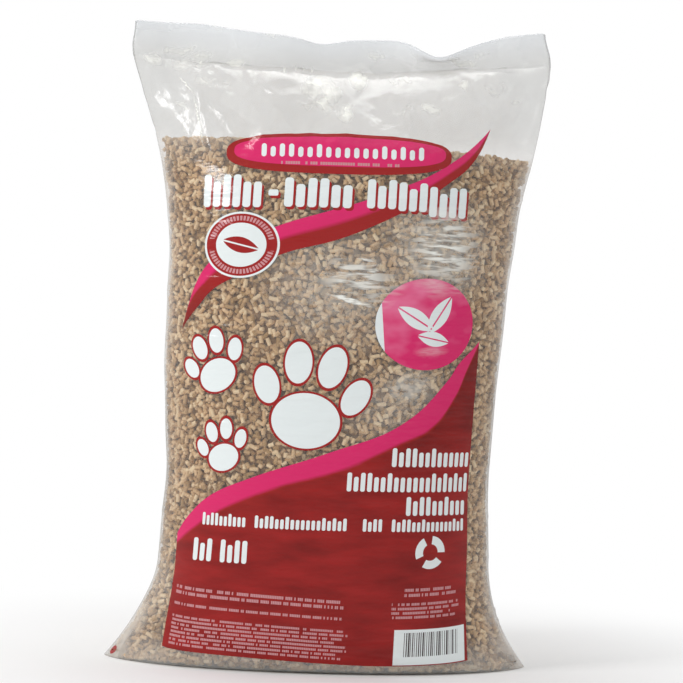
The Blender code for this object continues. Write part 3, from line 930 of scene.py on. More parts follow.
@dataclass(frozen=True)
class OuterFilm(FilmLook):
    """Outer face of the film on one stretch, with its inks under its gloss."""

    zone: Zone = Zone.CLEAR
    glare: str = "#fbfbf4"
    # how pale the painted reflection veils make the film
    glare_veil_whiteness: float = 4.0
    ink_cover: float = 0.97

    def material(self) -> bpy.types.Material:
        """Build the finish."""
        finish = Finish(bpy.data.materials.new(f"film_{self.zone.name.lower()}"))
        add = finish.add
        press = Press(finish)
        press.run(self.zone)
        glare = Glare(finish, press, self.zone)
        fold = self.fold(finish)
        # the haze varies facet by facet: painted light and shade of the crumpled film
        cover = finish.product(self.haze(finish, fold), glare.facets(28.57, 0.6, 0.7))
        colour = self.bare_colour(finish, fold)
        if self.zone is not Zone.CLEAR:
            # painted reflection: faint pale veils over the print and the litter
            glare_veil = glare.glare_veil()
            pale = add("Math", (glare_veil, self.glare_veil_whiteness), 'MULTIPLY', use_clamp=True)
            colour = add("Mix", (pale, colour, linear(self.glare)), data_type='RGBA')
            cover = add("Math", (cover, glare_veil), 'MAXIMUM')
            inked = add("Math", (press.ink, 0.5), 'GREATER_THAN')
            cover = add("Mix", (inked, cover, self.ink_cover))
            colour = add("Mix", (inked, colour, press.colour()), data_type='RGBA')
        # painted highlights, laid over everything on this stretch
        mask = glare.mask()
        cover = add("Math", (cover, mask), 'MAXIMUM')
        colour = add("Mix", (mask, colour, linear(self.glare)), data_type='RGBA')
        return finish.end(self.shader(finish, colour, cover, self.unevenness(finish)))


@dataclass(frozen=True)
class Sheen:
    """A painted patch of reflected light on the film: its middle, half sizes, turn and strength.
    """

    middle: Point
    size: Point
    turn: float
    strength: float


class Glare:
    """Painted highlights: pale patches where the film would mirror the light, with their sizes in
    millimetres.
    """

    SPREAD = 1.4                        # of a patch's half size, where its edge fades out
    TEAR = 8.0                          # and how far beyond that its edge may be torn
    CORE = 0.3                          # share of a patch's half size that has full strength
    FACETS: tuple[Sheen, ...] = (       # painted highlights of the slack film above the litter
        Sheen((-191, 597), (14, 11), -0.5, 0.9), Sheen((-163, 608), (26, 7), 0.25, 0.8),
        Sheen((-150, 596), (36, 16), 0.1, 0.8), Sheen((-132, 572), (32, 13), -0.1, 0.6),
        Sheen((-168, 549), (16, 7), -0.45, 0.8), Sheen((-105, 594), (20, 7), 0.0, 0.7),
        Sheen((-24, 560), (33, 32), 0.1, 1.0), Sheen((18, 579), (20, 24), 0.0, 1.0),
        Sheen((2, 541), (16, 20), 0.0, 1.0), Sheen((58, 578), (20, 13), 0.0, 0.6),
        Sheen((118, 574), (7, 9), 0.3, 0.9), Sheen((84, 548), (16, 13), 0.0, 0.75),
        Sheen((60, 547), (12, 10), 0.0, 0.5), Sheen((36, 607), (14, 9), 0.0, 0.65),
        Sheen((122, 599), (22, 5), -0.1, 0.8), Sheen((147, 607), (24, 8), 0.3, 0.65),
        Sheen((150, 575), (24, 18), 0.5, 0.4), Sheen((172, 562), (12, 5), 0.0, 0.6),
        Sheen((-128, 630), (12, 5), -0.1, 0.5), Sheen((-66, 622), (18, 6), -0.15, 0.5),
    )
    STREAKS: tuple[Sheen, ...] = (  # painted highlights where single folds catch the light
        Sheen((-158, 570), (20, 1.8), -0.93, 0.9), Sheen((-147, 533), (36, 2.1), -1.43, 1.1),
        Sheen((-163, 522), (2.6, 7), 0.0, 0.6), Sheen((-57, 586), (2.4, 8), -0.1, 0.8),
        Sheen((-46, 589), (1.8, 8), 0.0, 0.6), Sheen((-38, 588), (2.0, 8), 0.0, 0.7),
        Sheen((-30, 588), (2.0, 9), 0.0, 0.7), Sheen((105, 424), (27, 3.2), 0.0, 0.8),
        Sheen((109, 399), (25, 3.4), 0.02, 0.85), Sheen((104, 388), (13, 7), 0.0, 0.6),
        Sheen((27, 398), (14, 2.6), -0.12, 0.8), Sheen((33, 388), (10, 3.2), 0.0, 0.8),
        Sheen((24, 375), (24, 3.8), 0.08, 0.8), Sheen((12, 359), (34, 3.4), -0.23, 1.1),
        Sheen((95, 376), (24, 7), -0.1, 0.3), Sheen((96, 312), (22, 6), 0.1, 0.25),
    )
    RIPPLES: tuple[Sheen, ...] = (  # painted highlights where many level folds lie close together
        Sheen((103, 412), (44, 44), 0.0, 1.0), Sheen((18, 380), (46, 30), -0.1, 0.8),
    )
    GLARE_VEILS: tuple[Sheen, ...] = (  # broad and faint painted reflections
        Sheen((0, 371), (80, 62), 0.0, 0.27), Sheen((96, 412), (60, 54), 0.0, 0.36),
        Sheen((76, 276), (30, 17), 0.2, 0.42), Sheen((66, 262), (64, 40), 0.35, 0.20),
        Sheen((-176, 70), (36, 60), 0.2, 0.16),
    )

    def __init__(self, finish: Finish, press: "Press", zone: Zone) -> None:
        """Start from the places in millimetres."""
        self.add = finish.add
        self.cloud = finish.cloud
        self.press = press
        self.zone = zone
        self.ragged = self.torn((22.22, 22.22), 18.0)

    def torn(self, size: Point, amount: float) -> Socket:
        """Places shifted by chance, so that what is drawn there has a ragged edge."""
        add = self.add
        tear = self.cloud(self.press.place, size, output="Color")
        tear = add("VectorMath", (tear, (0.5, 0.5, 0.5)), 'SUBTRACT')
        return add("VectorMath", (tear, (amount, amount, 0.0), self.press.place), 'MULTIPLY_ADD')

    def facets(self, size: float, contrast: float, base: float) -> Socket:
        """A strength for each flat facet of the crumpled film."""
        cells = self.add("TexVoronoi", {"Vector": self.ragged, "Scale": 1 / size},
                         output="Color", voronoi_dimensions='2D')
        return self.add("Math", (cells, contrast, base), 'MULTIPLY_ADD')

    def patches(self, sheens: tuple[Sheen, ...], place: Socket, softness: float) -> Socket:
        """How much some patches hide at each place, if they reach into the zone."""
        found: Socket | float = 0.0
        for sheen in sheens:
            if self.zone.overlaps(sheen.middle[1], max(sheen.size) * self.SPREAD + self.TEAR):
                away = self.press.oval(sheen.middle, sheen.size, sheen.turn, place)
                full = sheen.strength * (1 + self.CORE / softness)
                share = self.add("Math", (away, -sheen.strength / softness, full), 'MULTIPLY_ADD')
                share = self.add("Math", (share, sheen.strength), 'MINIMUM')
                found = self.add("Math", (found, share), 'MAXIMUM')
        return found

    def grain(self, size: Point, contrast: float, middle: float) -> Socket:
        """Chance strength from 0 to 1, in spots of a size across and up."""
        chance = self.cloud(self.press.place, size)
        return self.add(
            "Math", (chance, contrast, 0.5 - contrast * middle), 'MULTIPLY_ADD', use_clamp=True)

    def glare_veil(self) -> Socket:
        """How much a faint painted reflection hides of what lies behind the bare film."""
        patchy = self.grain((9.09, 5.0), 2.4, 0.34)
        return self.add("Math", (self.patches(self.GLARE_VEILS, self.ragged, 1.0), patchy),
                        'MULTIPLY', use_clamp=True)

    def mask(self) -> Socket:
        """How much the painted glare hides at each place."""
        add = self.add
        fine = self.torn((10.0, 3.333), 5.0)
        blotch = self.grain((16.67, 13.33), 3.4, 0.40)
        blotch = self.press.all_of(blotch, self.facets(10.0, 0.9, 0.45))
        found: Socket | float = 0.0
        for sheens, place, softness, strength in (
                (self.FACETS, self.ragged, 0.5, blotch),
                (self.STREAKS, fine, 0.6, self.grain((10.0, 1.8182), 2.2, 0.34)),
                (self.RIPPLES, self.ragged, 0.8, self.grain((28.57, 5.0), 6.0, 0.50))):
            patches = self.patches(sheens, place, softness)
            lit = add("Math", (patches, strength), 'MULTIPLY', use_clamp=True)
            found = add("Math", (found, lit), 'MAXIMUM')
        return found


class Ink(Enum):
    """Printing inks on the film, in order: between two numbers lies a blend of two inks."""

    NONE = "#e0e0dd"
    BLACK = "#43383a"
    DEEP_RED = "#7a100d"
    DARK_RED = "#a21e1c"
    PINK = "#e2276d"
    # a painted sheen on the disc's pink, not an ink
    PINK_SHEEN = "#f484ab"
    ROSE = "#d0979b"
    WHITE = "#eff6f6"

    @property
    def number(self) -> float:
        """Place of the ink in the order."""
        return float(list(Ink).index(self))


@dataclass(frozen=True)
class Block:
    """A printed block: its left, lower, right and upper edge, in millimetres."""

    left: float
    low: float
    right: float
    high: float

    def moved(self, across: float, up: float) -> "Block":
        """The same block, moved."""
        return Block(self.left + across, self.low + up, self.right + across, self.high + up)


Rows = tuple[tuple[Block, float], ...]  # blocks and the pitch in each


@dataclass(frozen=True)
class Paw:
    """A printed paw: its middle, half its width and its turn."""

    middle: Point
    size: float
    turn: float


@dataclass(frozen=True)
class PrintLayout:
    """Places on the front, in millimetres across from its middle and up from the floor.

    Blocks near the foot are given up from the panel's lower edge, which sags.
    """

    panel_sides: Point = (-154, 154.5)
    panel_lean: float = -0.014          # of its right side
    panel_cloud: Point = (55.56, 14.286)   # sizes of the patches of painted wrinkle shade in its red
    panel_change: float = 2.2           # how much that painted shade varies the ink
    panel_dark: float = 0.45            # how much darker than its mean the red starts
    panel_fade: Point = (200, 110)      # where the red starts to darken upwards, and how far
    stripe_blur: float = 5.0
    panel_foot: Line = (
        (-160, 24), (-140, 16.8), (-72, 14.6), (-30, 13), (6, 11.3), (60, 9.6), (100, 9.8),
        (155, 13.5))
    panel_top: Line = (
        (-160, 119), (-147, 138), (-138, 148), (-115, 167), (-73, 186), (2, 213), (68, 240),
        (117, 286), (127, 301), (147, 320), (155, 329))
    stripe_foot: Line = (
        (-160, 112), (-150, 121.5), (-130, 136), (-115, 146), (-83, 163), (-43, 179), (13, 196),
        (69, 222), (99, 236), (125, 267), (138, 296), (155, 329))
    swoosh_top: Line = (
        (-161, 326), (-154.5, 349), (-146, 371), (-133, 390), (-115, 404), (-59, 429),
        (-12, 444), (16, 453), (54, 468), (82, 481), (107, 497), (127, 513), (144, 531))
    swoosh_foot: Line = (
        (-161, 326), (-153.5, 336), (-139.5, 351), (-126, 365), (-106, 376.5), (-56, 401),
        (-1, 417), (36, 433), (74, 454), (103, 475), (123, 492), (144, 531))
    swoosh_sides: Point = (-161, 144)
    swoosh_blend: Point = (0.44, 0.60)  # shares of its width between which it turns pink
    swoosh_tail: Point = (372, 80)      # where its tail starts to darken downwards, and how far
    tail_dark: float = 1.9
    plaque: Point = (-7, 500)
    plaque_size: Point = (111, 20)
    plaque_face: Point = (-6, 502)
    plaque_face_size: Point = (104, 14.5)
    plaque_bars: Block = Block(-84, 496, 78, 509)
    plaque_pitch: float = 9.0
    plaque_slim: float = 0.56
    plaque_line: Block = Block(-62, 488, 60, 493)
    plaque_letter: float = 2.4
    headline: Rows = (
        (Block(-142, 446, -78, 478), 10.67), (Block(-74, 457.5, -61, 463.5), 13.0),
        (Block(-58, 447, 10, 475.5), 11.33), (Block(22, 447.5, 52.6, 476), 10.2),
        (Block(52.6, 446, 83.2, 474), 10.2), (Block(83.2, 441.5, 124, 471), 10.2))
    headline_slim: float = 0.76
    headline_shadow: Point = (2.2, -2.6)
    badge: Point = (-97.5, 409.5)
    badge_size: Point = (39.5, 32)
    badge_ring: Point = (0.94, 0.665)  # shares of its size, as are the ends of its ticks
    badge_ticks: Point = (0.735, 0.875)
    tick_rate: float = 9.0  # ticks to the radian
    tick_share: float = 0.64
    tick_gap: float = 0.17  # half the height that is left free at both sides
    badge_leaf: Point = (7.5, 20)
    disc: Point = (89, 338)
    disc_size: Point = (50.5, 44)
    # patches of the disc's painted sheen, and how strong they are
    disc_cloud: Point = (28.57, 18.18)
    disc_change: float = 1.6
    disc_slope: Point = (110, 2.3)  # how far the painted sheen takes to pale the ink, and which way
    disc_pale: float = 0.60
    disc_left: tuple[Point, float] = ((46, 338), 0.12)  # lines beyond which it is white
    disc_upper: tuple[Point, float] = ((123.5, 371), 0.72)
    rib: float = 0.09  # half a leaf's rib, as a share of its width
    leaves: tuple[tuple[Point, Point, float], ...] = (
        ((78, 343), (8.5, 22), 1.05), ((102, 347), (8.5, 22), -0.55),
        ((97, 324), (7, 17), -1.75))
    paws: tuple[Paw, ...] = (
        Paw((-118, 294), 34, 0.40), Paw((-20, 262), 57, -0.12), Paw((-104, 214), 28, 0.25))
    right_bars: Rows = (
        (Block(62, 201, 150, 219), 6.77), (Block(20, 177, 150, 195), 6.5),
        (Block(79, 154.5, 148, 172.5), 6.9))
    long_bars: Rows = (
        (Block(-122, 139, -74, 151), 4.8), (Block(-66, 139, 24, 151), 5.0),
        (Block(38, 139, 58, 151), 5.0), (Block(66, 139, 147, 151), 5.06))
    short_bars: Rows = ((Block(-131, 104, -107, 126), 8.0), (Block(-100, 104, -70, 126), 7.5))
    panel_slim: float = 0.68
    paw_line: float = 1.9
    ring: Point = (108, 119)
    ring_size: float = 16
    ring_hole: float = 0.5
    ring_parts: int = 3
    ring_share: float = 0.7  # of the ring that its parts take up
    fine_lines: Rows = (
        (Block(-147, 52.5, 34, 62.9), 5.2), (Block(-147, 42, 30, 46.5), 4.5),
        (Block(-147, 4, 32, 34), 3.75), (Block(84, 66, 146, 76), 5.0),
        (Block(72, 45, 146, 61.8), 4.2))
    patch: Block = Block(76, 1, 151, 35)
    patch_bars: Block = Block(86, 9, 143, 32)
    patch_pitch: float = 2.1
    ear_mark: Point = (-221, 7)
    ear_mark_size: Point = (5.5, 4)


class Press:
    """Lays the inks over one another on the film."""

    PADS = (((0.0, -0.34), (0.58, 0.46), 0.0), ((-0.76, 0.16), (0.21, 0.32), 0.42),
            ((-0.29, 0.60), (0.23, 0.35), 0.14), ((0.29, 0.60), (0.23, 0.35), -0.14),
            ((0.76, 0.16), (0.21, 0.32), -0.42))    # of a paw: middle, size and turn
    TALL_ABOVE = 0.74       # chance above which a bar has the row's full height
    ROUNDING = (0.28, 0.3)  # most that a bar's corner takes of the pitch and of the height
    LINE = (0.15, 0.72)     # stretch of a line's height that its strokes take up
    STROKE = 0.8            # share of a stroke's pitch that is printed
    LEFT_OUT = 0.17         # share of the strokes that are left out
    RAGGED = 14.0           # most by which a line ends before its block

    def __init__(self, finish: Finish) -> None:
        """Start from the bare film, with places in millimetres."""
        self.add = finish.add
        self.cloud = finish.cloud
        self.all_of = finish.product
        self.layout = PrintLayout()
        mapped = self.add("UVMap", uv_map=FILM_MAP)
        self.place = self.add(
            "VectorMath", (mapped, (1 / MM, 1 / MM, 0.0), (0.0, 0.0, 1.0)), 'MULTIPLY_ADD')
        self.across = self.add("SeparateXYZ", (self.place,), output="X")
        self.up = self.add("SeparateXYZ", (self.place,), output="Y")
        self.panel_foot = self.height_of(self.layout.panel_foot)
        self.above_foot = self.add("Math", (self.up, self.panel_foot), 'SUBTRACT')
        self.ink: Socket | float = Ink.NONE.number

    def lay(self, ink: Ink | Socket, mask: Socket) -> None:
        """Print an ink, or a blend of inks by its number, where a mask holds."""
        number = ink.number if isinstance(ink, Ink) else ink
        self.ink = self.add("Mix", (mask, self.ink, number))

    def colour(self) -> Socket:
        """Colour of what has been printed."""
        last = len(Ink) - 1
        ramp = self.add("ValToRGB", (self.add("Math", (self.ink, last), 'DIVIDE'),))
        stops = ramp.node.color_ramp.elements
        stops[0].color = linear(Ink.NONE.value)
        stops[1].color = linear(Ink.WHITE.value)
        for ink in list(Ink)[1:-1]:
            stops.new(ink.number / last).color = linear(ink.value)
        return ramp

    def inside(self, distance: Socket, edge: Socket | float = 1.0) -> Socket:
        """Where a distance is less than an edge."""
        return self.add("Math", (distance, edge), 'LESS_THAN')

    def between(self, value: Socket, low: Socket | float, high: Socket | float) -> Socket:
        """Where a value lies between two others."""
        above = self.add("Math", (value, low), 'GREATER_THAN')
        return self.all_of(above, self.inside(value, high))

    def local(self, centre: Point, size: Point = (1.0, 1.0), turn: float = 0.0,
              place: Socket | None = None) -> tuple[Socket, Socket]:
        """Places seen from a shape's centre, turned and scaled with it.

        Args:
            centre: the shape's centre.
            size: half the shape's width and height.
            turn: how far the shape is turned to the left, in radians.
            place: the places, with 1 as their third number.

        Returns:
            How far across and up each place is.
        """
        place = place or self.place
        cosine, sine = math.cos(turn), math.sin(turn)
        found = []
        for aim, length in (((cosine, sine), size[0]), ((-sine, cosine), size[1])):
            shift = -(centre[0] * aim[0] + centre[1] * aim[1]) / length
            row = (aim[0] / length, aim[1] / length, shift)
            found.append(self.add("VectorMath", (place, row), 'DOT_PRODUCT', output="Value"))
        return found[0], found[1]

    def length(self, across: Socket, up: Socket) -> Socket:
        """Distance from the centre of places given across and up."""
        spot = self.add("CombineXYZ", (across, up, 0.0))
        return self.add("VectorMath", (spot,), 'LENGTH', output="Value")

    def oval(self, centre: Point, size: Point, turn: float = 0.0,
             place: Socket | None = None) -> Socket:
        """Distance from an oval's centre, 1 at its edge."""
        return self.length(*self.local(centre, size, turn, place))

    def blunt_oval(self, centre: Point, size: Point, power: float = 2.7) -> Socket:
        """An oval with blunt ends: a number that is 1 at its edge and less inside."""
        sides = [self.add("Math", (side,), 'ABSOLUTE') for side in self.local(centre, size)]
        shares = [self.add("Math", (side, power), 'POWER') for side in sides]
        return self.add("Math", tuple(shares), 'ADD')

    def leaf(self, centre: Point, size: Point, turn: float, rib: float) -> Socket:
        """A pointed leaf, parted along its rib."""
        across, up = self.local(centre, size, turn)
        side = self.add("Math", (across,), 'ABSOLUTE')
        shape = self.add("Math", (up, up, side), 'MULTIPLY_ADD')
        return self.all_of(self.inside(shape), self.add("Math", (side, rib), 'GREATER_THAN'))

    def paw(self, paw: Paw) -> Socket:
        """Distance from a paw's edge in millimetres, negative inside."""
        add = self.add
        spot = self.local(paw.middle, (paw.size, paw.size), paw.turn)
        own = add("CombineXYZ", (*spot, 1.0))
        nearest: Socket | float = 1.0
        for centre, size, turn in self.PADS:
            away = self.oval(centre, size, turn, own)
            away = add("Math", (away, min(size), -min(size)), 'MULTIPLY_ADD')
            nearest = add("Math", (nearest, away), 'MINIMUM')
        return add("Math", (nearest, paw.size), 'MULTIPLY')

    def bars(self, block: Block, pitch: float, slim: float, shortest: float = 0.78) -> Socket:
        """Row of upright, round-cornered bars that stand on one line.

        Args:
            block: the place of the row.
            pitch: distance from bar to bar.
            slim: a bar's width, as a share of the pitch.
            shortest: the lower bars' height, as a share of the block's.

        Returns:
            The bars' mask.
        """
        add = self.add
        height = block.high - block.low
        corner = min(self.ROUNDING[0] * pitch, self.ROUNDING[1] * height)
        steps = add("Math", (self.across, 1 / pitch, -block.left / pitch), 'MULTIPLY_ADD')
        number = add("Math", (steps,), 'FLOOR')
        chance = add("TexWhiteNoise", (number,), noise_dimensions='1D')
        tall = add("Math", (chance, self.TALL_ABOVE), 'GREATER_THAN')
        first = add("Math", (number, 0.5), 'LESS_THAN')
        tall = add("Math", (tall, first), 'MAXIMUM')
        half = add(
            "Math", (tall, height * (1 - shortest) / 2, height * shortest / 2), 'MULTIPLY_ADD')
        side = add("Math", (add("Math", (steps,), 'FRACT'), 0.5), 'SUBTRACT')
        side = add("Math", (add("Math", (side,), 'ABSOLUTE'), pitch,
                            corner - pitch * slim / 2), 'MULTIPLY_ADD')
        rise = add("Math", (self.up, block.low), 'SUBTRACT')
        rise = add("Math", (rise, half), 'SUBTRACT')
        rise = add("Math", (add("Math", (rise,), 'ABSOLUTE'), half), 'SUBTRACT')
        rise = add("Math", (rise, corner), 'ADD')
        away = add("CombineXYZ", (side, rise, 0.0))
        away = add("VectorMath", (away, (0.0, 0.0, 0.0)), 'MAXIMUM')
        away = add("VectorMath", (away,), 'LENGTH', output="Value")
        row = self.between(self.across, block.left, block.right)
        return self.all_of(self.inside(away, corner), row)

    def strokes(self, block: Block, line: float, height: Socket, letter: float = 1.7) -> Socket:
        """Lines of tiny strokes with gaps, like print too small to make out.

        Args:
            block: the place of the lines.
            line: distance from line to line.
            height: the height that the block is given in.
            letter: distance from stroke to stroke.

        Returns:
            The strokes' mask.
        """
        add = self.add
        lines = add("Math", (height, 1 / line, -block.low / line), 'MULTIPLY_ADD')
        number = add("Math", (lines,), 'FLOOR')
        within = add("Math", (lines,), 'FRACT')
        steps = add("Math", (self.across, letter), 'DIVIDE')
        stroke = add("Math", (steps,), 'FLOOR')
        cell = add("CombineXYZ", (stroke, number, block.left))
        chance = add("TexWhiteNoise", (cell,))
        ragged = add("TexWhiteNoise", (number,), noise_dimensions='1D')
        end = add("Math", (ragged, self.RAGGED, block.right - self.RAGGED), 'MULTIPLY_ADD')
        return self.all_of(
            self.between(self.across, block.left, end),
            self.between(height, block.low, block.high), self.between(within, *self.LINE),
            self.inside(add("Math", (steps,), 'FRACT'), self.STROKE),
            add("Math", (chance, self.LEFT_OUT), 'GREATER_THAN'))

    def height_of(self, line: Line) -> Socket:
        """Height of a line through given points, at each place across."""
        (left, _), (right, _) = line[0], line[-1]
        low = min(point[1] for point in line)
        high = max(point[1] for point in line)
        share = self.add("Math", (self.across, 1 / (right - left), -left / (right - left)),
                         'MULTIPLY_ADD', use_clamp=True)
        curved = self.add("FloatCurve", {"Value": share})
        curve = curved.node.mapping.curves[0]
        scaled = [((point[0] - left) / (right - left), (point[1] - low) / (high - low))
                  for point in line]
        curve.points[0].location = scaled[0]
        curve.points[-1].location = scaled[-1]
        for spot in scaled[1:-1]:
            curve.points.new(*spot)
        curved.node.mapping.update()
        return self.add("Math", (curved, high - low, low), 'MULTIPLY_ADD')

    def panel(self) -> None:
        """Red lower panel with painted wrinkle shade, darker upwards from a height, and a pink
        stripe on its swept edge.
        """
        add = self.add
        layout = self.layout
        left, right = layout.panel_sides
        right = add("Math", (self.up, layout.panel_lean, right), 'MULTIPLY_ADD')
        sides = self.between(self.across, left, right)
        top = self.height_of(layout.panel_top)
        stripe = self.height_of(layout.stripe_foot)
        # painted light and shade of the film's wrinkles over the red
        painted_wrinkle_shade = self.cloud(self.place, layout.panel_cloud, 3.0)
        shade = add("Math", (painted_wrinkle_shade, layout.panel_change,
                             Ink.DEEP_RED.number - layout.panel_dark), 'MULTIPLY_ADD')
        start, length = layout.panel_fade
        high = add("Math", (self.up, 1 / length, -start / length), 'MULTIPLY_ADD', use_clamp=True)
        shade = add("Math", (shade, high), 'SUBTRACT')
        shade = add("Math", (shade, Ink.DEEP_RED.number), 'MAXIMUM')
        shade = add("Math", (shade, Ink.DARK_RED.number), 'MINIMUM')
        pink = add("Math", (self.up, stripe), 'SUBTRACT')
        pink = add("Math", (pink, 1 / layout.stripe_blur, 0.5), 'MULTIPLY_ADD', use_clamp=True)
        shade = add("Mix", (pink, shade, Ink.PINK.number))
        self.lay(shade, self.all_of(sides, self.between(self.up, self.panel_foot, top)))

    def swoosh(self) -> None:
        """Swoosh over the litter, pink that runs into dark red below."""
        add = self.add
        layout = self.layout
        sides = self.between(self.across, *layout.swoosh_sides)
        foot = self.height_of(layout.swoosh_foot)
        top = self.height_of(layout.swoosh_top)
        share = add("MapRange", (self.up, foot, top))
        start, length = layout.swoosh_tail
        tail = add("Math", (self.up, 1 / length, -start / length), 'MULTIPLY_ADD')
        tail = add("Math", (tail, 0.0), 'MINIMUM')
        share = add("Math", (share, tail), 'ADD')
        blend = add(
            "MapRange", (share, *layout.swoosh_blend, Ink.DARK_RED.number, Ink.PINK.number))
        blend = add("Math", (tail, layout.tail_dark, blend), 'MULTIPLY_ADD')
        self.lay(blend, self.all_of(sides, self.between(self.up, foot, top)))

    def plaque(self) -> None:
        """Long oval plaque: dark red rim, pink face, a row of bars and a fine line."""
        layout = self.layout
        self.lay(Ink.DARK_RED, self.inside(self.blunt_oval(layout.plaque, layout.plaque_size)))
        self.lay(
            Ink.PINK, self.inside(self.blunt_oval(layout.plaque_face, layout.plaque_face_size)))
        bars, line = layout.plaque_bars, layout.plaque_line
        self.lay(Ink.WHITE, self.bars(bars, layout.plaque_pitch, layout.plaque_slim))
        self.lay(
            Ink.ROSE, self.strokes(line, line.high - line.low, self.up, layout.plaque_letter))

    def headline(self) -> None:
        """Row of white bars with a dark red shadow below them on the right."""
        layout = self.layout
        shadow: Socket | float = 0.0
        face: Socket | float = 0.0
        for block, pitch in layout.headline:
            dark = self.bars(block.moved(*layout.headline_shadow), pitch, layout.headline_slim)
            light = self.bars(block, pitch, layout.headline_slim)
            shadow = self.add("Math", (shadow, dark), 'MAXIMUM')
            face = self.add("Math", (face, light), 'MAXIMUM')
        self.lay(Ink.DARK_RED, shadow)
        self.lay(Ink.WHITE, face)

    def badge(self) -> None:
        """Oval badge: white ground, dark red ring with fine ticks, and a leaf."""
        add = self.add
        layout = self.layout
        side, rise = self.local(layout.badge, layout.badge_size)
        distance = self.length(side, rise)
        for ink, edge in zip((Ink.WHITE, Ink.DARK_RED, Ink.WHITE), (1.0, *layout.badge_ring)):
            self.lay(ink, self.inside(distance, edge))
        angle = add("Math", (rise, side), 'ARCTAN2')
        ticks = add("Math", (angle, layout.tick_rate), 'MULTIPLY')
        ticks = self.inside(add("Math", (ticks,), 'FRACT'), layout.tick_share)
        away = add("Math", (add("Math", (rise,), 'ABSOLUTE'), layout.tick_gap), 'GREATER_THAN')
        self.lay(Ink.ROSE, self.all_of(ticks, away, self.between(distance, *layout.badge_ticks)))
        self.lay(Ink.DARK_RED, self.leaf(layout.badge, layout.badge_leaf, 1.35, 0.10))

    def disc(self) -> None:
        """Round pink disc with leaves and a painted sheen that pales it towards its upper left,
        and with white slivers at its left and upper right.
        """
        add = self.add
        layout = self.layout
        distance = self.inside(self.oval(layout.disc, layout.disc_size))
        # painted sheen: paler towards the upper left, in patches
        disc_sheen = self.cloud(self.place, layout.disc_cloud)
        length, way = layout.disc_slope
        slope, _ = self.local(layout.disc, (length, length), way)
        disc_sheen = add("Math", (disc_sheen, layout.disc_change, slope), 'MULTIPLY_ADD')
        disc_sheen = add("Math", (disc_sheen, layout.disc_pale), 'SUBTRACT', use_clamp=True)
        self.lay(add("Math", (disc_sheen, Ink.PINK.number), 'ADD'), distance)
        for (spot, turn), beyond in ((layout.disc_left, 'LESS_THAN'),
                                     (layout.disc_upper, 'GREATER_THAN')):
            side, _ = self.local(spot, turn=turn)
            sliver = add("Math", (side, 0.0), operation=beyond)
            self.lay(Ink.WHITE, self.all_of(distance, sliver))
        for leaf in layout.leaves:
            self.lay(Ink.WHITE, self.leaf(*leaf, layout.rib))

    def paws(self, zone: Zone) -> None:
        """White paws with dark red outlines, where they reach into a zone."""
        for paw in self.layout.paws:
            if zone.overlaps(paw.middle[1], paw.size + 3):
                edge = self.paw(paw)
                self.lay(Ink.DARK_RED, self.inside(edge, self.layout.paw_line))
                self.lay(Ink.WHITE, self.inside(edge, 0.0))

    def panel_print(self) -> None:
        """Rows of white bars, a parted ring, fine lines and a patch of dark bars."""
        add = self.add
        layout = self.layout
        for block, pitch in (*layout.right_bars, *layout.long_bars, *layout.short_bars):
            self.lay(Ink.WHITE, self.bars(block, pitch, layout.panel_slim))
        side, rise = self.local(layout.ring, (layout.ring_size, layout.ring_size))
        distance = self.length(side, rise)
        angle = add("Math", (rise, side), 'ARCTAN2')
        parts = add("Math", (angle, layout.ring_parts / WHOLE_TURN), 'MULTIPLY')
        parts = self.inside(add("Math", (parts,), 'FRACT'), layout.ring_share)
        self.lay(Ink.WHITE, self.all_of(parts, self.between(distance, layout.ring_hole, 1.0)))
        for block, line in layout.fine_lines:
            self.lay(Ink.ROSE, self.strokes(block, line, self.above_foot))
        patch, bars = layout.patch, layout.patch_bars
        self.lay(Ink.WHITE, self.all_of(
            self.between(self.across, patch.left, patch.right),
            self.between(self.above_foot, patch.low, patch.high)))
        stripes = add("Math", (self.across, layout.patch_pitch), 'DIVIDE')
        thick = add("TexWhiteNoise", (add("Math", (stripes,), 'FLOOR'),), noise_dimensions='1D')
        thick = add("Math", (thick, 0.6, 0.2), 'MULTIPLY_ADD')
        self.lay(Ink.BLACK, self.all_of(
            self.between(self.across, bars.left, bars.right),
            self.between(self.above_foot, bars.low, bars.high),
            self.inside(add("Math", (stripes,), 'FRACT'), thick)))

    def run(self, zone: Zone) -> None:
        """Print what lies in a zone."""
        if zone is Zone.CLEAR:
            return
        self.panel()
        if zone is Zone.UPPER:
            self.swoosh()
            self.plaque()
            self.headline()
            self.badge()
            self.disc()
        self.paws(zone)
        if zone is Zone.LOWER:
            self.panel_print()
            mark = self.oval(self.layout.ear_mark, self.layout.ear_mark_size)
            self.lay(Ink.DARK_RED, self.inside(mark))


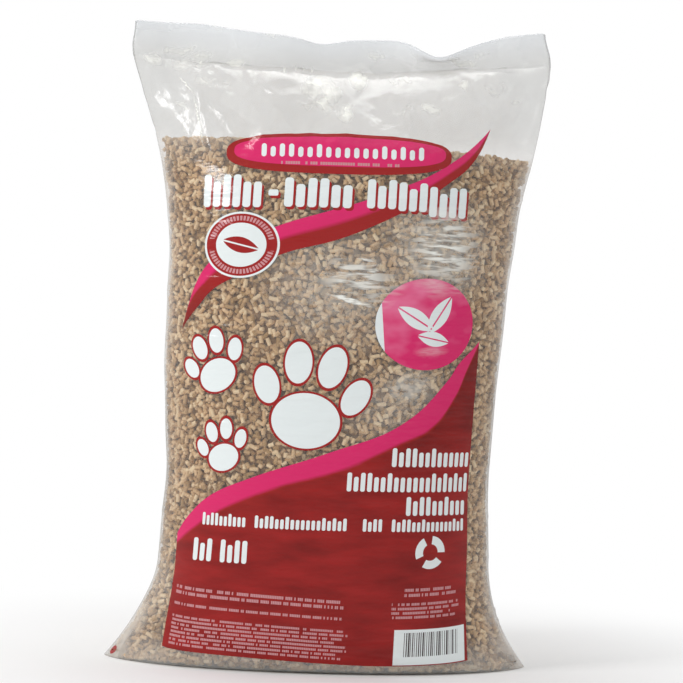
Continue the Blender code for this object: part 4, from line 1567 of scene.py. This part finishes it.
@dataclass
class RodPacking:
    """Rods laid close together on a sheet that closes on itself sideways."""

    width: float
    height: float
    thickness: float
    lengths: Array
    random: np.random.Generator
    discs: int = 5
    rounds: int = 60
    closed: bool = True

    def settle(self) -> tuple[Array, Array]:
        """Push overlapping rods apart.

        Returns:
            The rods' middles and their angles.
        """
        count = len(self.lengths)
        middles = self.random.uniform((0.0, 0.0), (self.width, self.height), (count, 2))
        angles = self.random.uniform(0.0, math.pi, count)
        spread = np.linspace(-0.5, 0.5, self.discs)
        reach = np.maximum(self.lengths - self.thickness, 0.0)
        owners = np.repeat(np.arange(count), self.discs)
        offsets = (reach[:, None] * spread[None, :]).ravel()
        for _ in range(self.rounds):
            aim = np.stack([np.cos(angles), np.sin(angles)], axis=1)[owners]
            spots = middles[owners] + aim * offsets[:, None]
            first, second, push = self.pushes(spots, owners)
            moved = np.stack([np.bincount(first, push[:, axis], len(spots))
                              - np.bincount(second, push[:, axis], len(spots))
                              for axis in (0, 1)], axis=1)
            touched = np.maximum(np.bincount(owners, (np.abs(moved).sum(1) > 0), count), 1.0)
            middles += np.stack([np.bincount(owners, moved[:, axis], count)
                                 for axis in (0, 1)], axis=1) / touched[:, None]
            turning = offsets * (aim[:, 0] * moved[:, 1] - aim[:, 1] * moved[:, 0])
            inertia = np.maximum(np.bincount(owners, offsets ** 2, count), self.thickness ** 2)
            angles += np.clip(np.bincount(owners, turning, count) / inertia, -0.3, 0.3)
            if self.closed:
                middles[:, 0] %= self.width
            else:
                middles[:, 0] = np.clip(middles[:, 0], 0.0, self.width)
            middles[:, 1] = np.clip(middles[:, 1], 0.0, self.height)
        return middles, angles

    def pushes(self, spots: Array, owners: Array) -> tuple[Array, Array, Array]:
        """Overlapping pairs of discs of different rods, and half of what parts each pair."""
        cell = self.thickness
        wide = max(int(self.width / cell), 1)
        column = np.floor(spots[:, 0] / self.width * wide).astype(int)
        line = np.floor(spots[:, 1] / cell).astype(int)
        column = column % wide if self.closed else np.clip(column, -1, wide)
        stride = wide + 4
        key = (line + 4) * stride + column + 2
        order = np.argsort(key, kind="stable")
        ranked = key[order]
        firsts, seconds = [], []
        for line_step, column_step in ((0, 0), (0, 1), (1, -1), (1, 0), (1, 1)):
            beside = column + column_step
            beside = beside % wide if self.closed else beside
            wanted = (line + line_step + 4) * stride + beside + 2
            start = np.searchsorted(ranked, wanted, "left")
            stop = np.searchsorted(ranked, wanted, "right")
            number = stop - start
            left = np.repeat(np.arange(len(spots)), number)
            shift = np.arange(number.sum()) - np.repeat(np.cumsum(number) - number, number)
            right = order[np.repeat(start, number) + shift]
            firsts.append(left)
            seconds.append(right)
        first, second = np.concatenate(firsts), np.concatenate(seconds)
        keep = (owners[first] != owners[second]) & (first != second)
        first, second = first[keep], second[keep]
        apart = spots[first] - spots[second]
        if self.closed:
            apart[:, 0] = (apart[:, 0] + self.width / 2) % self.width - self.width / 2
        distance = np.linalg.norm(apart, axis=1)
        close = (distance < self.thickness) & (distance > 1e-9)
        first, second, apart, distance = first[close], second[close], apart[close], distance[close]
        push = apart * ((self.thickness - distance) / distance / 2)[:, None]
        return first, second, push


@dataclass
class PelletBed:
    """The litter: pressed wood pellets against the film, on top and round a core."""

    form: SackForm
    surface: FilmSurface
    thickness: float = 0.0044
    shortest: float = 0.0042
    longest: float = 0.0112
    usual: float = 0.0062
    cover: float = 0.88  # share of a layer's area that its pellets take up
    deeper_cover: float = 0.66
    clearance: float = 0.0006
    heave: float = 0.0011           # chance depth of a pellet behind the film
    fold_stand_off: float = 0.0005  # the film's side folds stand clear of the litter
    fold_reach: float = 0.016
    fold_check: float = 0.035
    floor_gap: float = 0.0008
    tilt: float = 0.0016            # spread of how far a pellet's one end lies deeper
    end_overlap: float = 0.3        # of the thickness: how far a pellet's ends stand out
    ridge: float = 0.012            # height above the litter's level that its pellets may reach
    top_reach: Point = (0.19, 0.085)        # half sizes of the top layer
    top_rim: float = 0.007          # gap between its pellets' middles and the film
    top_heave: float = 0.0012
    rim_samples: int = 240
    slant: float = 0.16             # spread of how far a cut end slants
    slimmest: float = 0.95          # share of the thickness
    edge_angle: float = math.radians(60)
    sides: int = 7
    seed: int = 11
    core_depth: float = 0.0078
    core_columns: int = 96
    core_step: int = 4  # rows of the film for each of the core's

    def __post_init__(self) -> None:
        """Start the seeded choices and measure the rows that hold litter."""
        self.random = np.random.default_rng(self.seed)
        middle = self.surface.places[:, self.surface.columns]
        self.row_lengths = path_lengths(middle)
        self.first_row = self.surface.bottom_rows
        level = self.form.weld_height - self.form.litter_drop
        self.last_row = int(np.searchsorted(middle[:, 2], level + self.ridge))

    def lengths(self, area: float, cover: float) -> Array:
        """Lengths of the pellets that cover a share of an area."""
        mean = (self.shortest + self.usual + self.longest) / 3
        count = round(area * cover / (mean * self.thickness))
        return self.random.triangular(self.shortest, self.usual, self.longest, count)

    def from_fold(self, turn: Array) -> Array:
        """Distance along the film to the nearer side fold."""
        return np.abs((turn * 2 + 0.5) % 1.0 - 0.5) / 2 * self.form.girth

    def stand_off(self, turn: Array) -> Array:
        """Extra gap to the film near its side folds."""
        return self.fold_stand_off * np.exp(-(self.from_fold(turn) / self.fold_reach) ** 2)

    def kept_in(self, places: Array, turn: Array, gap: float) -> Array:
        """Hold places above the floor and on their own side of the sack's middle."""
        deep = np.where(
            turn % 1.0 < 0.5, np.minimum(places[:, 1], -gap), np.maximum(places[:, 1], gap))
        up = np.maximum(places[:, 2], gap + self.floor_gap)
        return np.column_stack([places[:, 0], deep, up])

    def wall_layer(self, depth: float, cover: float) -> Rods:
        """Pellets that lie along the film, a depth behind its face.

        Args:
            depth: distance of the pellets' faces from the film's.
            cover: share of the film that they cover.

        Returns:
            The pellets' two ends and their places round the sack.
        """
        start = self.row_lengths[self.first_row]
        height = self.row_lengths[self.last_row] - start
        lengths = self.lengths(self.form.girth * height, cover)
        packing = RodPacking(self.form.girth, height, self.thickness, lengths, self.random)
        middles, angles = packing.settle()
        tilt = self.random.normal(0.0, self.tilt, len(lengths))
        heave = self.random.uniform(0.0, self.heave, len(lengths))
        ends = []
        turns = middles[:, 0] / self.form.girth
        fits = np.ones(len(lengths), bool)
        for sign in (-0.5, 0.5):
            reach = sign * (lengths - self.end_overlap * self.thickness)
            turn = (middles[:, 0] + np.cos(angles) * reach) / self.form.girth
            along = np.clip(middles[:, 1] + np.sin(angles) * reach, 0.0, height) + start
            row = np.interp(along, self.row_lengths, np.arange(len(self.row_lengths)))
            sunk = depth + self.thickness / 2 + self.clearance + self.stand_off(turn)
            sunk = sunk + heave + np.maximum(sign * 2 * tilt, 0.0)
            ends.append(self.kept_in(self.surface.at(turn, row, sunk), turns, self.thickness / 2))
            by_fold = np.flatnonzero(self.from_fold(turns) < self.fold_check)
            fits[by_fold] &= self.inside_film(ends[-1][by_fold])
        return ends[0][fits], ends[1][fits], turns[fits]

    def inside_film(self, places: Array) -> Array:
        """Where a pellet's end fits between the film's front and back, above and below it."""
        grid = self.surface.places
        half = 2 * self.surface.columns
        numbers = np.arange(self.first_row, self.last_row + 9)
        fits = np.ones(len(places), bool)
        for shift in (-0.5, 0.0, 0.5):
            rows = np.interp(places[:, 2] + shift * self.thickness, grid[numbers, 0, 2], numbers)
            for number, (place, row) in enumerate(zip(places, np.floor(rows).astype(int))):
                ring = grid[row, half::-1]
                side = place[0] + math.copysign(self.thickness / 2, place[0])
                limit = np.interp(side, ring[:, 0], np.abs(ring[:, 1]), left=0.0, right=0.0)
                fits[number] &= abs(place[1]) + self.thickness / 2 < limit
        return fits

    def top_layer(self, depth: float) -> Rods:
        """Pellets that lie on the litter's top, a depth below it."""
        reach, deep = self.top_reach
        lengths = self.lengths(4 * reach * deep, self.cover)
        packing = RodPacking(
            2 * reach, 2 * deep, self.thickness, lengths, self.random, closed=False)
        middles, angles = packing.settle()
        middles = middles - (reach, deep)
        level = self.form.litter_level(middles[:, 0]) - depth
        around = np.linspace(0, 1, self.rim_samples, endpoint=False)
        ring = self.surface.at(around, np.full(self.rim_samples, float(self.last_row - 4)),
                               np.full(self.rim_samples, self.top_rim))
        inside = inside_ring(middles, ring[:, :2])
        heave = self.random.normal(0.0, self.top_heave, len(lengths))
        tilt = self.random.normal(0.0, self.tilt, len(lengths))
        aim = np.stack([np.cos(angles), np.sin(angles)], axis=1)
        ends = []
        for sign in (-0.5, 0.5):
            flat = middles + aim * (sign * lengths)[:, None]
            away = np.hypot(flat[:, 0] / reach, flat[:, 1] / deep)
            crown = self.form.litter_crown * np.clip(1 - away, -0.5, 1.0)
            ends.append(np.column_stack([flat, level + crown + heave + sign * tilt]))
        turns = np.where(middles[:, 1] < 0, 0.25, 0.75)
        return ends[0][inside], ends[1][inside], turns[inside]

    def stamp(self) -> bpy.types.Mesh:
        """One pellet of unit thickness and length, with its map."""
        shape = bmesh.new()
        bmesh.ops.create_cone(
            shape, cap_ends=True, segments=self.sides, radius1=0.5, radius2=0.5, depth=1.0)
        layer = shape.loops.layers.uv.new("wood")
        for face in shape.faces:
            end = abs(face.normal.z) > 0.5
            for loop in face.loops:
                turn = math.atan2(loop.vert.co.y, loop.vert.co.x) / WHOLE_TURN
                middle = face.calc_center_median()
                around = math.atan2(middle.y, middle.x) / WHOLE_TURN
                turn += round(around - turn)
                loop[layer].uv = (
                    (loop.vert.co.x + 3.0, loop.vert.co.y) if end else (loop.vert.co.z, turn))
        return meshed("pellet", shape)

    def bed(self, name: str, starts: Array, ends: Array) -> bpy.types.Object:
        """One piece of many separate pellets, each between its two ends."""
        stamp = self.stamp()
        heap = bmesh.new()
        for _ in range(len(starts)):
            heap.from_mesh(stamp)
        mesh = meshed(name, heap)
        points = np.array([vert.co for vert in stamp.vertices])
        bpy.data.meshes.remove(stamp)
        aim = ends - starts
        lengths = np.linalg.norm(aim, axis=1, keepdims=True)
        aim = aim / lengths
        helper = np.where(np.abs(aim[:, 2:]) < 0.9, (0.0, 0.0, 1.0), (1.0, 0.0, 0.0))
        side = np.cross(aim, helper)
        side /= np.linalg.norm(side, axis=1, keepdims=True)
        other = np.cross(aim, side)
        count = len(starts)
        slant = self.random.normal(0.0, self.slant, (count, 2, 1))
        thick = self.thickness * self.random.uniform(self.slimmest, 1.0, (count, 1))
        wide, deep, long = points.T[:, None, :]
        along = long * lengths + np.where(long > 0, slant[:, 0], slant[:, 1]) * wide * thick
        places = ((starts + ends) / 2)[:, None]
        for way, reach in ((aim, along), (side, wide * thick), (other, deep * thick)):
            places = places + way[:, None] * reach[:, :, None]
        mesh.vertices.foreach_set("co", places.astype(np.float32).ravel())
        tone = mesh.attributes.new(TONE, 'FLOAT', 'POINT')
        tones = np.repeat(self.random.uniform(0.0, 1.0, count), len(points))
        tone.data.foreach_set("value", tones.astype(np.float32))
        mesh.update()
        mesh.shade_smooth()
        mesh.set_sharp_from_angle(angle=self.edge_angle)
        return put(name, mesh)

    def core(self) -> bpy.types.Object:
        """The inside of the heap, which closes the gaps between the pellets."""
        surface = self.surface
        rows = np.arange(self.first_row, self.last_row - 1, self.core_step)
        columns = self.core_columns
        turns = np.linspace(0.0, 1.0, columns, endpoint=False)
        rings = [self.kept_in(surface.at(turns, np.full(columns, float(row)),
                                         self.core_depth + self.stand_off(turns)), turns, 0.0)
                 for row in rows]
        shape = bmesh.new()
        bmesh.ops.create_grid(shape, x_segments=columns, y_segments=len(rings) - 1, size=1.0)
        for vert in shape.verts:
            column = round((vert.co.x + 1) / 2 * columns) % columns
            row = round((vert.co.y + 1) / 2 * (len(rings) - 1))
            vert.co = rings[row][column]
        bmesh.ops.remove_doubles(shape, verts=shape.verts, dist=1e-6)
        for vert in shape.verts:
            level = float(self.form.litter_level(vert.co.x)) - self.core_depth
            vert.co.z = min(vert.co.z, level)
        rims = [edge for edge in shape.edges if edge.is_boundary]
        bmesh.ops.holes_fill(shape, edges=rims, sides=0)
        bmesh.ops.recalc_face_normals(shape, faces=shape.faces)
        mesh = meshed("pellet_core", shape)
        mesh.shade_smooth()
        return put("pellet_core", mesh)

    def build(self) -> list[bpy.types.Object]:
        """Make every pellet and the core, and let them stand for the model's litter."""
        wood = PelletWood().material()
        layers = [self.wall_layer(0.0, self.cover),
                  self.wall_layer(self.thickness * 0.9, self.deeper_cover),
                  self.top_layer(0.0), self.top_layer(self.thickness)]
        starts, ends, turns = (np.concatenate(parts) for parts in zip(*layers))
        highest = np.maximum(starts[:, 2], ends[:, 2])
        level = self.form.litter_level((starts[:, 0] + ends[:, 0]) / 2)
        kept = highest < level + 0.5 * self.thickness
        front = turns % 1.0 < 0.5
        low = highest < self.form.weld_height / 2
        pieces = []
        for side, on_side in (("front", front), ("back", ~front)):
            for part, on_part in (("foot", low), ("top", ~low)):
                chosen = kept & on_side & on_part
                piece = self.bed(f"pellets_{side}_{part}", starts[chosen], ends[chosen])
                piece.data.materials.append(wood)
                pieces.append(piece)
        core = self.core()
        core.data.materials.append(CoreWood().material())
        pieces.append(core)
        for piece in pieces:
            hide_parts("litter_fill")
        return pieces


def inside_ring(points: Array, ring: Array) -> Array:
    """Which points lie inside a closed flat ring."""
    inside = np.zeros(len(points), bool)
    for start, end in zip(ring, np.roll(ring, -1, axis=0)):
        crosses = (start[1] > points[:, 1]) != (end[1] > points[:, 1])
        share = (points[:, 1] - start[1]) / (end[1] - start[1] + 1e-12)
        inside ^= crosses & (points[:, 0] < start[0] + share * (end[0] - start[0]))
    return inside


@dataclass(frozen=True)
class PelletWood:
    """Extruded softwood dust: matt, streaked along its length, with cracked ends."""

    dark: str = "#a37e4c"
    middle: str = "#d8b283"
    light: str = "#f2dab2"
    roughness: float = 0.78
    streak_rate: tuple[float, float, float] = (4.8, 14.0, 0.0)  # to a pellet's length and girth
    streak_share: float = 0.35
    layers: float = 90.0  # so that no two pellets have the same streaks
    tone_span: Point = (0.18, 0.85)
    relief: float = 0.0004

    def material(self) -> bpy.types.Material:
        """Build the finish."""
        finish = Finish(bpy.data.materials.new("pressed_wood_pellets"))
        add = finish.add
        tone = add("Attribute", attribute_name=TONE, output="Fac")
        mapped = add("UVMap", uv_map="wood")
        layer = add("Math", (tone, self.layers), 'MULTIPLY')
        own = add("CombineXYZ", (0.0, 0.0, layer))
        shifted = add("VectorMath", (mapped, self.streak_rate, own), 'MULTIPLY_ADD')
        streak = add("TexNoise", {"Vector": shifted, "Scale": 1.0, "Roughness": 0.6})
        blended = add("Mix", (self.streak_share, tone, streak))
        ramp = add("ValToRGB", (blended,))
        stops = ramp.node.color_ramp.elements
        for stop, place, tint in zip(stops, self.tone_span, (self.dark, self.light)):
            stop.position = place
            stop.color = linear(tint)
        stops.new(0.5).color = linear(self.middle)
        bump = add("Bump", {"Strength": 0.5, "Distance": self.relief, "Height": streak})
        shader = add(
            "BsdfPrincipled", {"Base Color": ramp, "Normal": bump, "Roughness": self.roughness})
        return finish.end(shader)


@dataclass(frozen=True)
class CoreWood:
    """Pellets deep in the heap, which get little light."""

    dark: str = "#6a4c2c"
    light: str = "#b18a5a"
    cell: float = 0.004762  # about a pellet's thickness
    roughness: float = 0.9

    def material(self) -> bpy.types.Material:
        """Build the finish."""
        finish = Finish(bpy.data.materials.new("shadowed_wood_pellets"))
        add = finish.add
        place = add("TexCoord", output="Object")
        cells = add("TexVoronoi", {"Vector": place, "Scale": 1 / self.cell})
        ramp = add("ValToRGB", (cells,))
        stops = ramp.node.color_ramp.elements
        stops[0].color = linear(self.light)
        stops[1].color = linear(self.dark)
        shader = add("BsdfPrincipled", {"Base Color": ramp, "Roughness": self.roughness})
        return finish.end(shader)


@dataclass(frozen=True)
class Lamp:
    """A soft box: where it hangs, what it looks at, its size and its power."""

    name: str
    place: tuple[float, float, float]
    target: tuple[float, float, float]
    width: float
    height: float
    power: float

    def hang(self) -> None:
        """Add the lamp to the scene."""
        light = bpy.data.lights.new(self.name, 'AREA')
        light.shape = 'RECTANGLE'
        light.size, light.size_y, light.energy = self.width, self.height, self.power
        lamp = bpy.data.objects.new(self.name, light)
        aim = Vector(self.target) - Vector(self.place)
        turn = aim.to_track_quat('-Z', 'Y').to_matrix().to_4x4()
        lamp.matrix_world = Matrix.Translation(self.place) @ turn
        bpy.context.scene.collection.objects.link(lamp)


@dataclass(frozen=True)
class Studio:
    """Plain pale floor, white surroundings, soft boxes and the camera."""

    camera_distance: float = 2.0
    picture_middle: tuple[float, float] = (0.0131, 0.3192)  # across and up, at the sack
    picture_width: float = 0.683
    roll: float = math.radians(1.7)
    sensor: float = 36.0
    floor_size: float = 12.0
    floor_drop: float = 0.0003
    floor_fade: tuple[float, float] = (0.22, 0.62)  # distances from the sack's middle
    paper: str = "#f7f7f7"
    white: str = "#ffffff"
    world_light: float = 0.58
    lamps: tuple[Lamp, ...] = (
        Lamp("key", (-2.25, -1.3, 1.65), (0.0, 0.0, 0.35), 0.7, 0.7, 28.0),
        Lamp("side", (1.55, -1.85, 1.0), (0.0, 0.0, 0.3), 0.5, 0.8, 0.3),
        Lamp("overhead", (0.0, 0.3, 2.2), (0.0, 0.0, 0.3), 1.4, 1.0, 14.0),
    )

    def camera(self) -> None:
        """Stand the camera in front, level and rolled as the photograph is."""
        data = bpy.data.cameras.new("camera")
        data.sensor_width = self.sensor
        data.lens = self.sensor * self.camera_distance / self.picture_width
        camera = bpy.data.objects.new("camera", data)
        across, up = self.picture_middle
        turn = Euler((math.pi / 2, 0.0, 0.0)).to_matrix() @ Matrix.Rotation(self.roll, 3, 'Z')
        camera.location = (across, -self.camera_distance, up)
        camera.rotation_euler = turn.to_euler()
        bpy.context.scene.collection.objects.link(camera)
        bpy.context.scene.camera = camera

    def floor(self) -> None:
        """White floor that keeps the shadow and fades into the white surroundings."""
        shape = bmesh.new()
        bmesh.ops.create_grid(shape, x_segments=2, y_segments=2, size=self.floor_size / 2)
        mesh = meshed("floor", shape)
        mesh.transform(Matrix.Translation((0.0, 0.0, -self.floor_drop)))
        floor = bpy.data.objects.new("floor", mesh)
        bpy.context.scene.collection.objects.link(floor)
        finish = Finish(bpy.data.materials.new("white_floor"))
        add = finish.add
        place = add("TexCoord", output="Object")
        away = add("VectorMath", (place,), 'LENGTH', output="Value")
        fade = add("MapRange", (away, *self.floor_fade), interpolation_type='SMOOTHSTEP')
        paper = add("BsdfDiffuse", (linear(self.paper),))
        glow = add("Emission", (linear(self.white), 1.0))
        bright = finish.product(fade, add("LightPath", output="Is Camera Ray"))
        mesh.materials.append(finish.end(add("MixShader", (bright, paper, glow))))

    def surroundings(self) -> None:
        """World that looks white and lights plainly."""
        finish = Finish(bpy.data.worlds.new("studio"))
        rays = [finish.add("LightPath", output=f"Is {kind} Ray") for kind in ("Camera", "Glossy")]
        seen = finish.add("Math", rays, 'MAXIMUM')
        strength = finish.add("MapRange", (seen, 0.0, 1.0, self.world_light))
        light = finish.add("Background", (linear(self.white), strength))
        bpy.context.scene.world = finish.end(light)

    def build(self) -> None:
        """Set up the whole studio."""
        bpy.context.scene.view_settings.view_transform = 'Standard'
        self.surroundings()
        self.floor()
        for lamp in self.lamps:
            lamp.hang()
        self.camera()


def main() -> None:
    """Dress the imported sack."""
    logging.basicConfig(level=logging.INFO, format="%(message)s")
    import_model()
    form = SackForm()
    surface = FilmSurface(form)
    Studio().build()
    FilmBag(form, surface).build()
    PelletBed(form, surface).build()


if __name__ == "__main__":
    main()
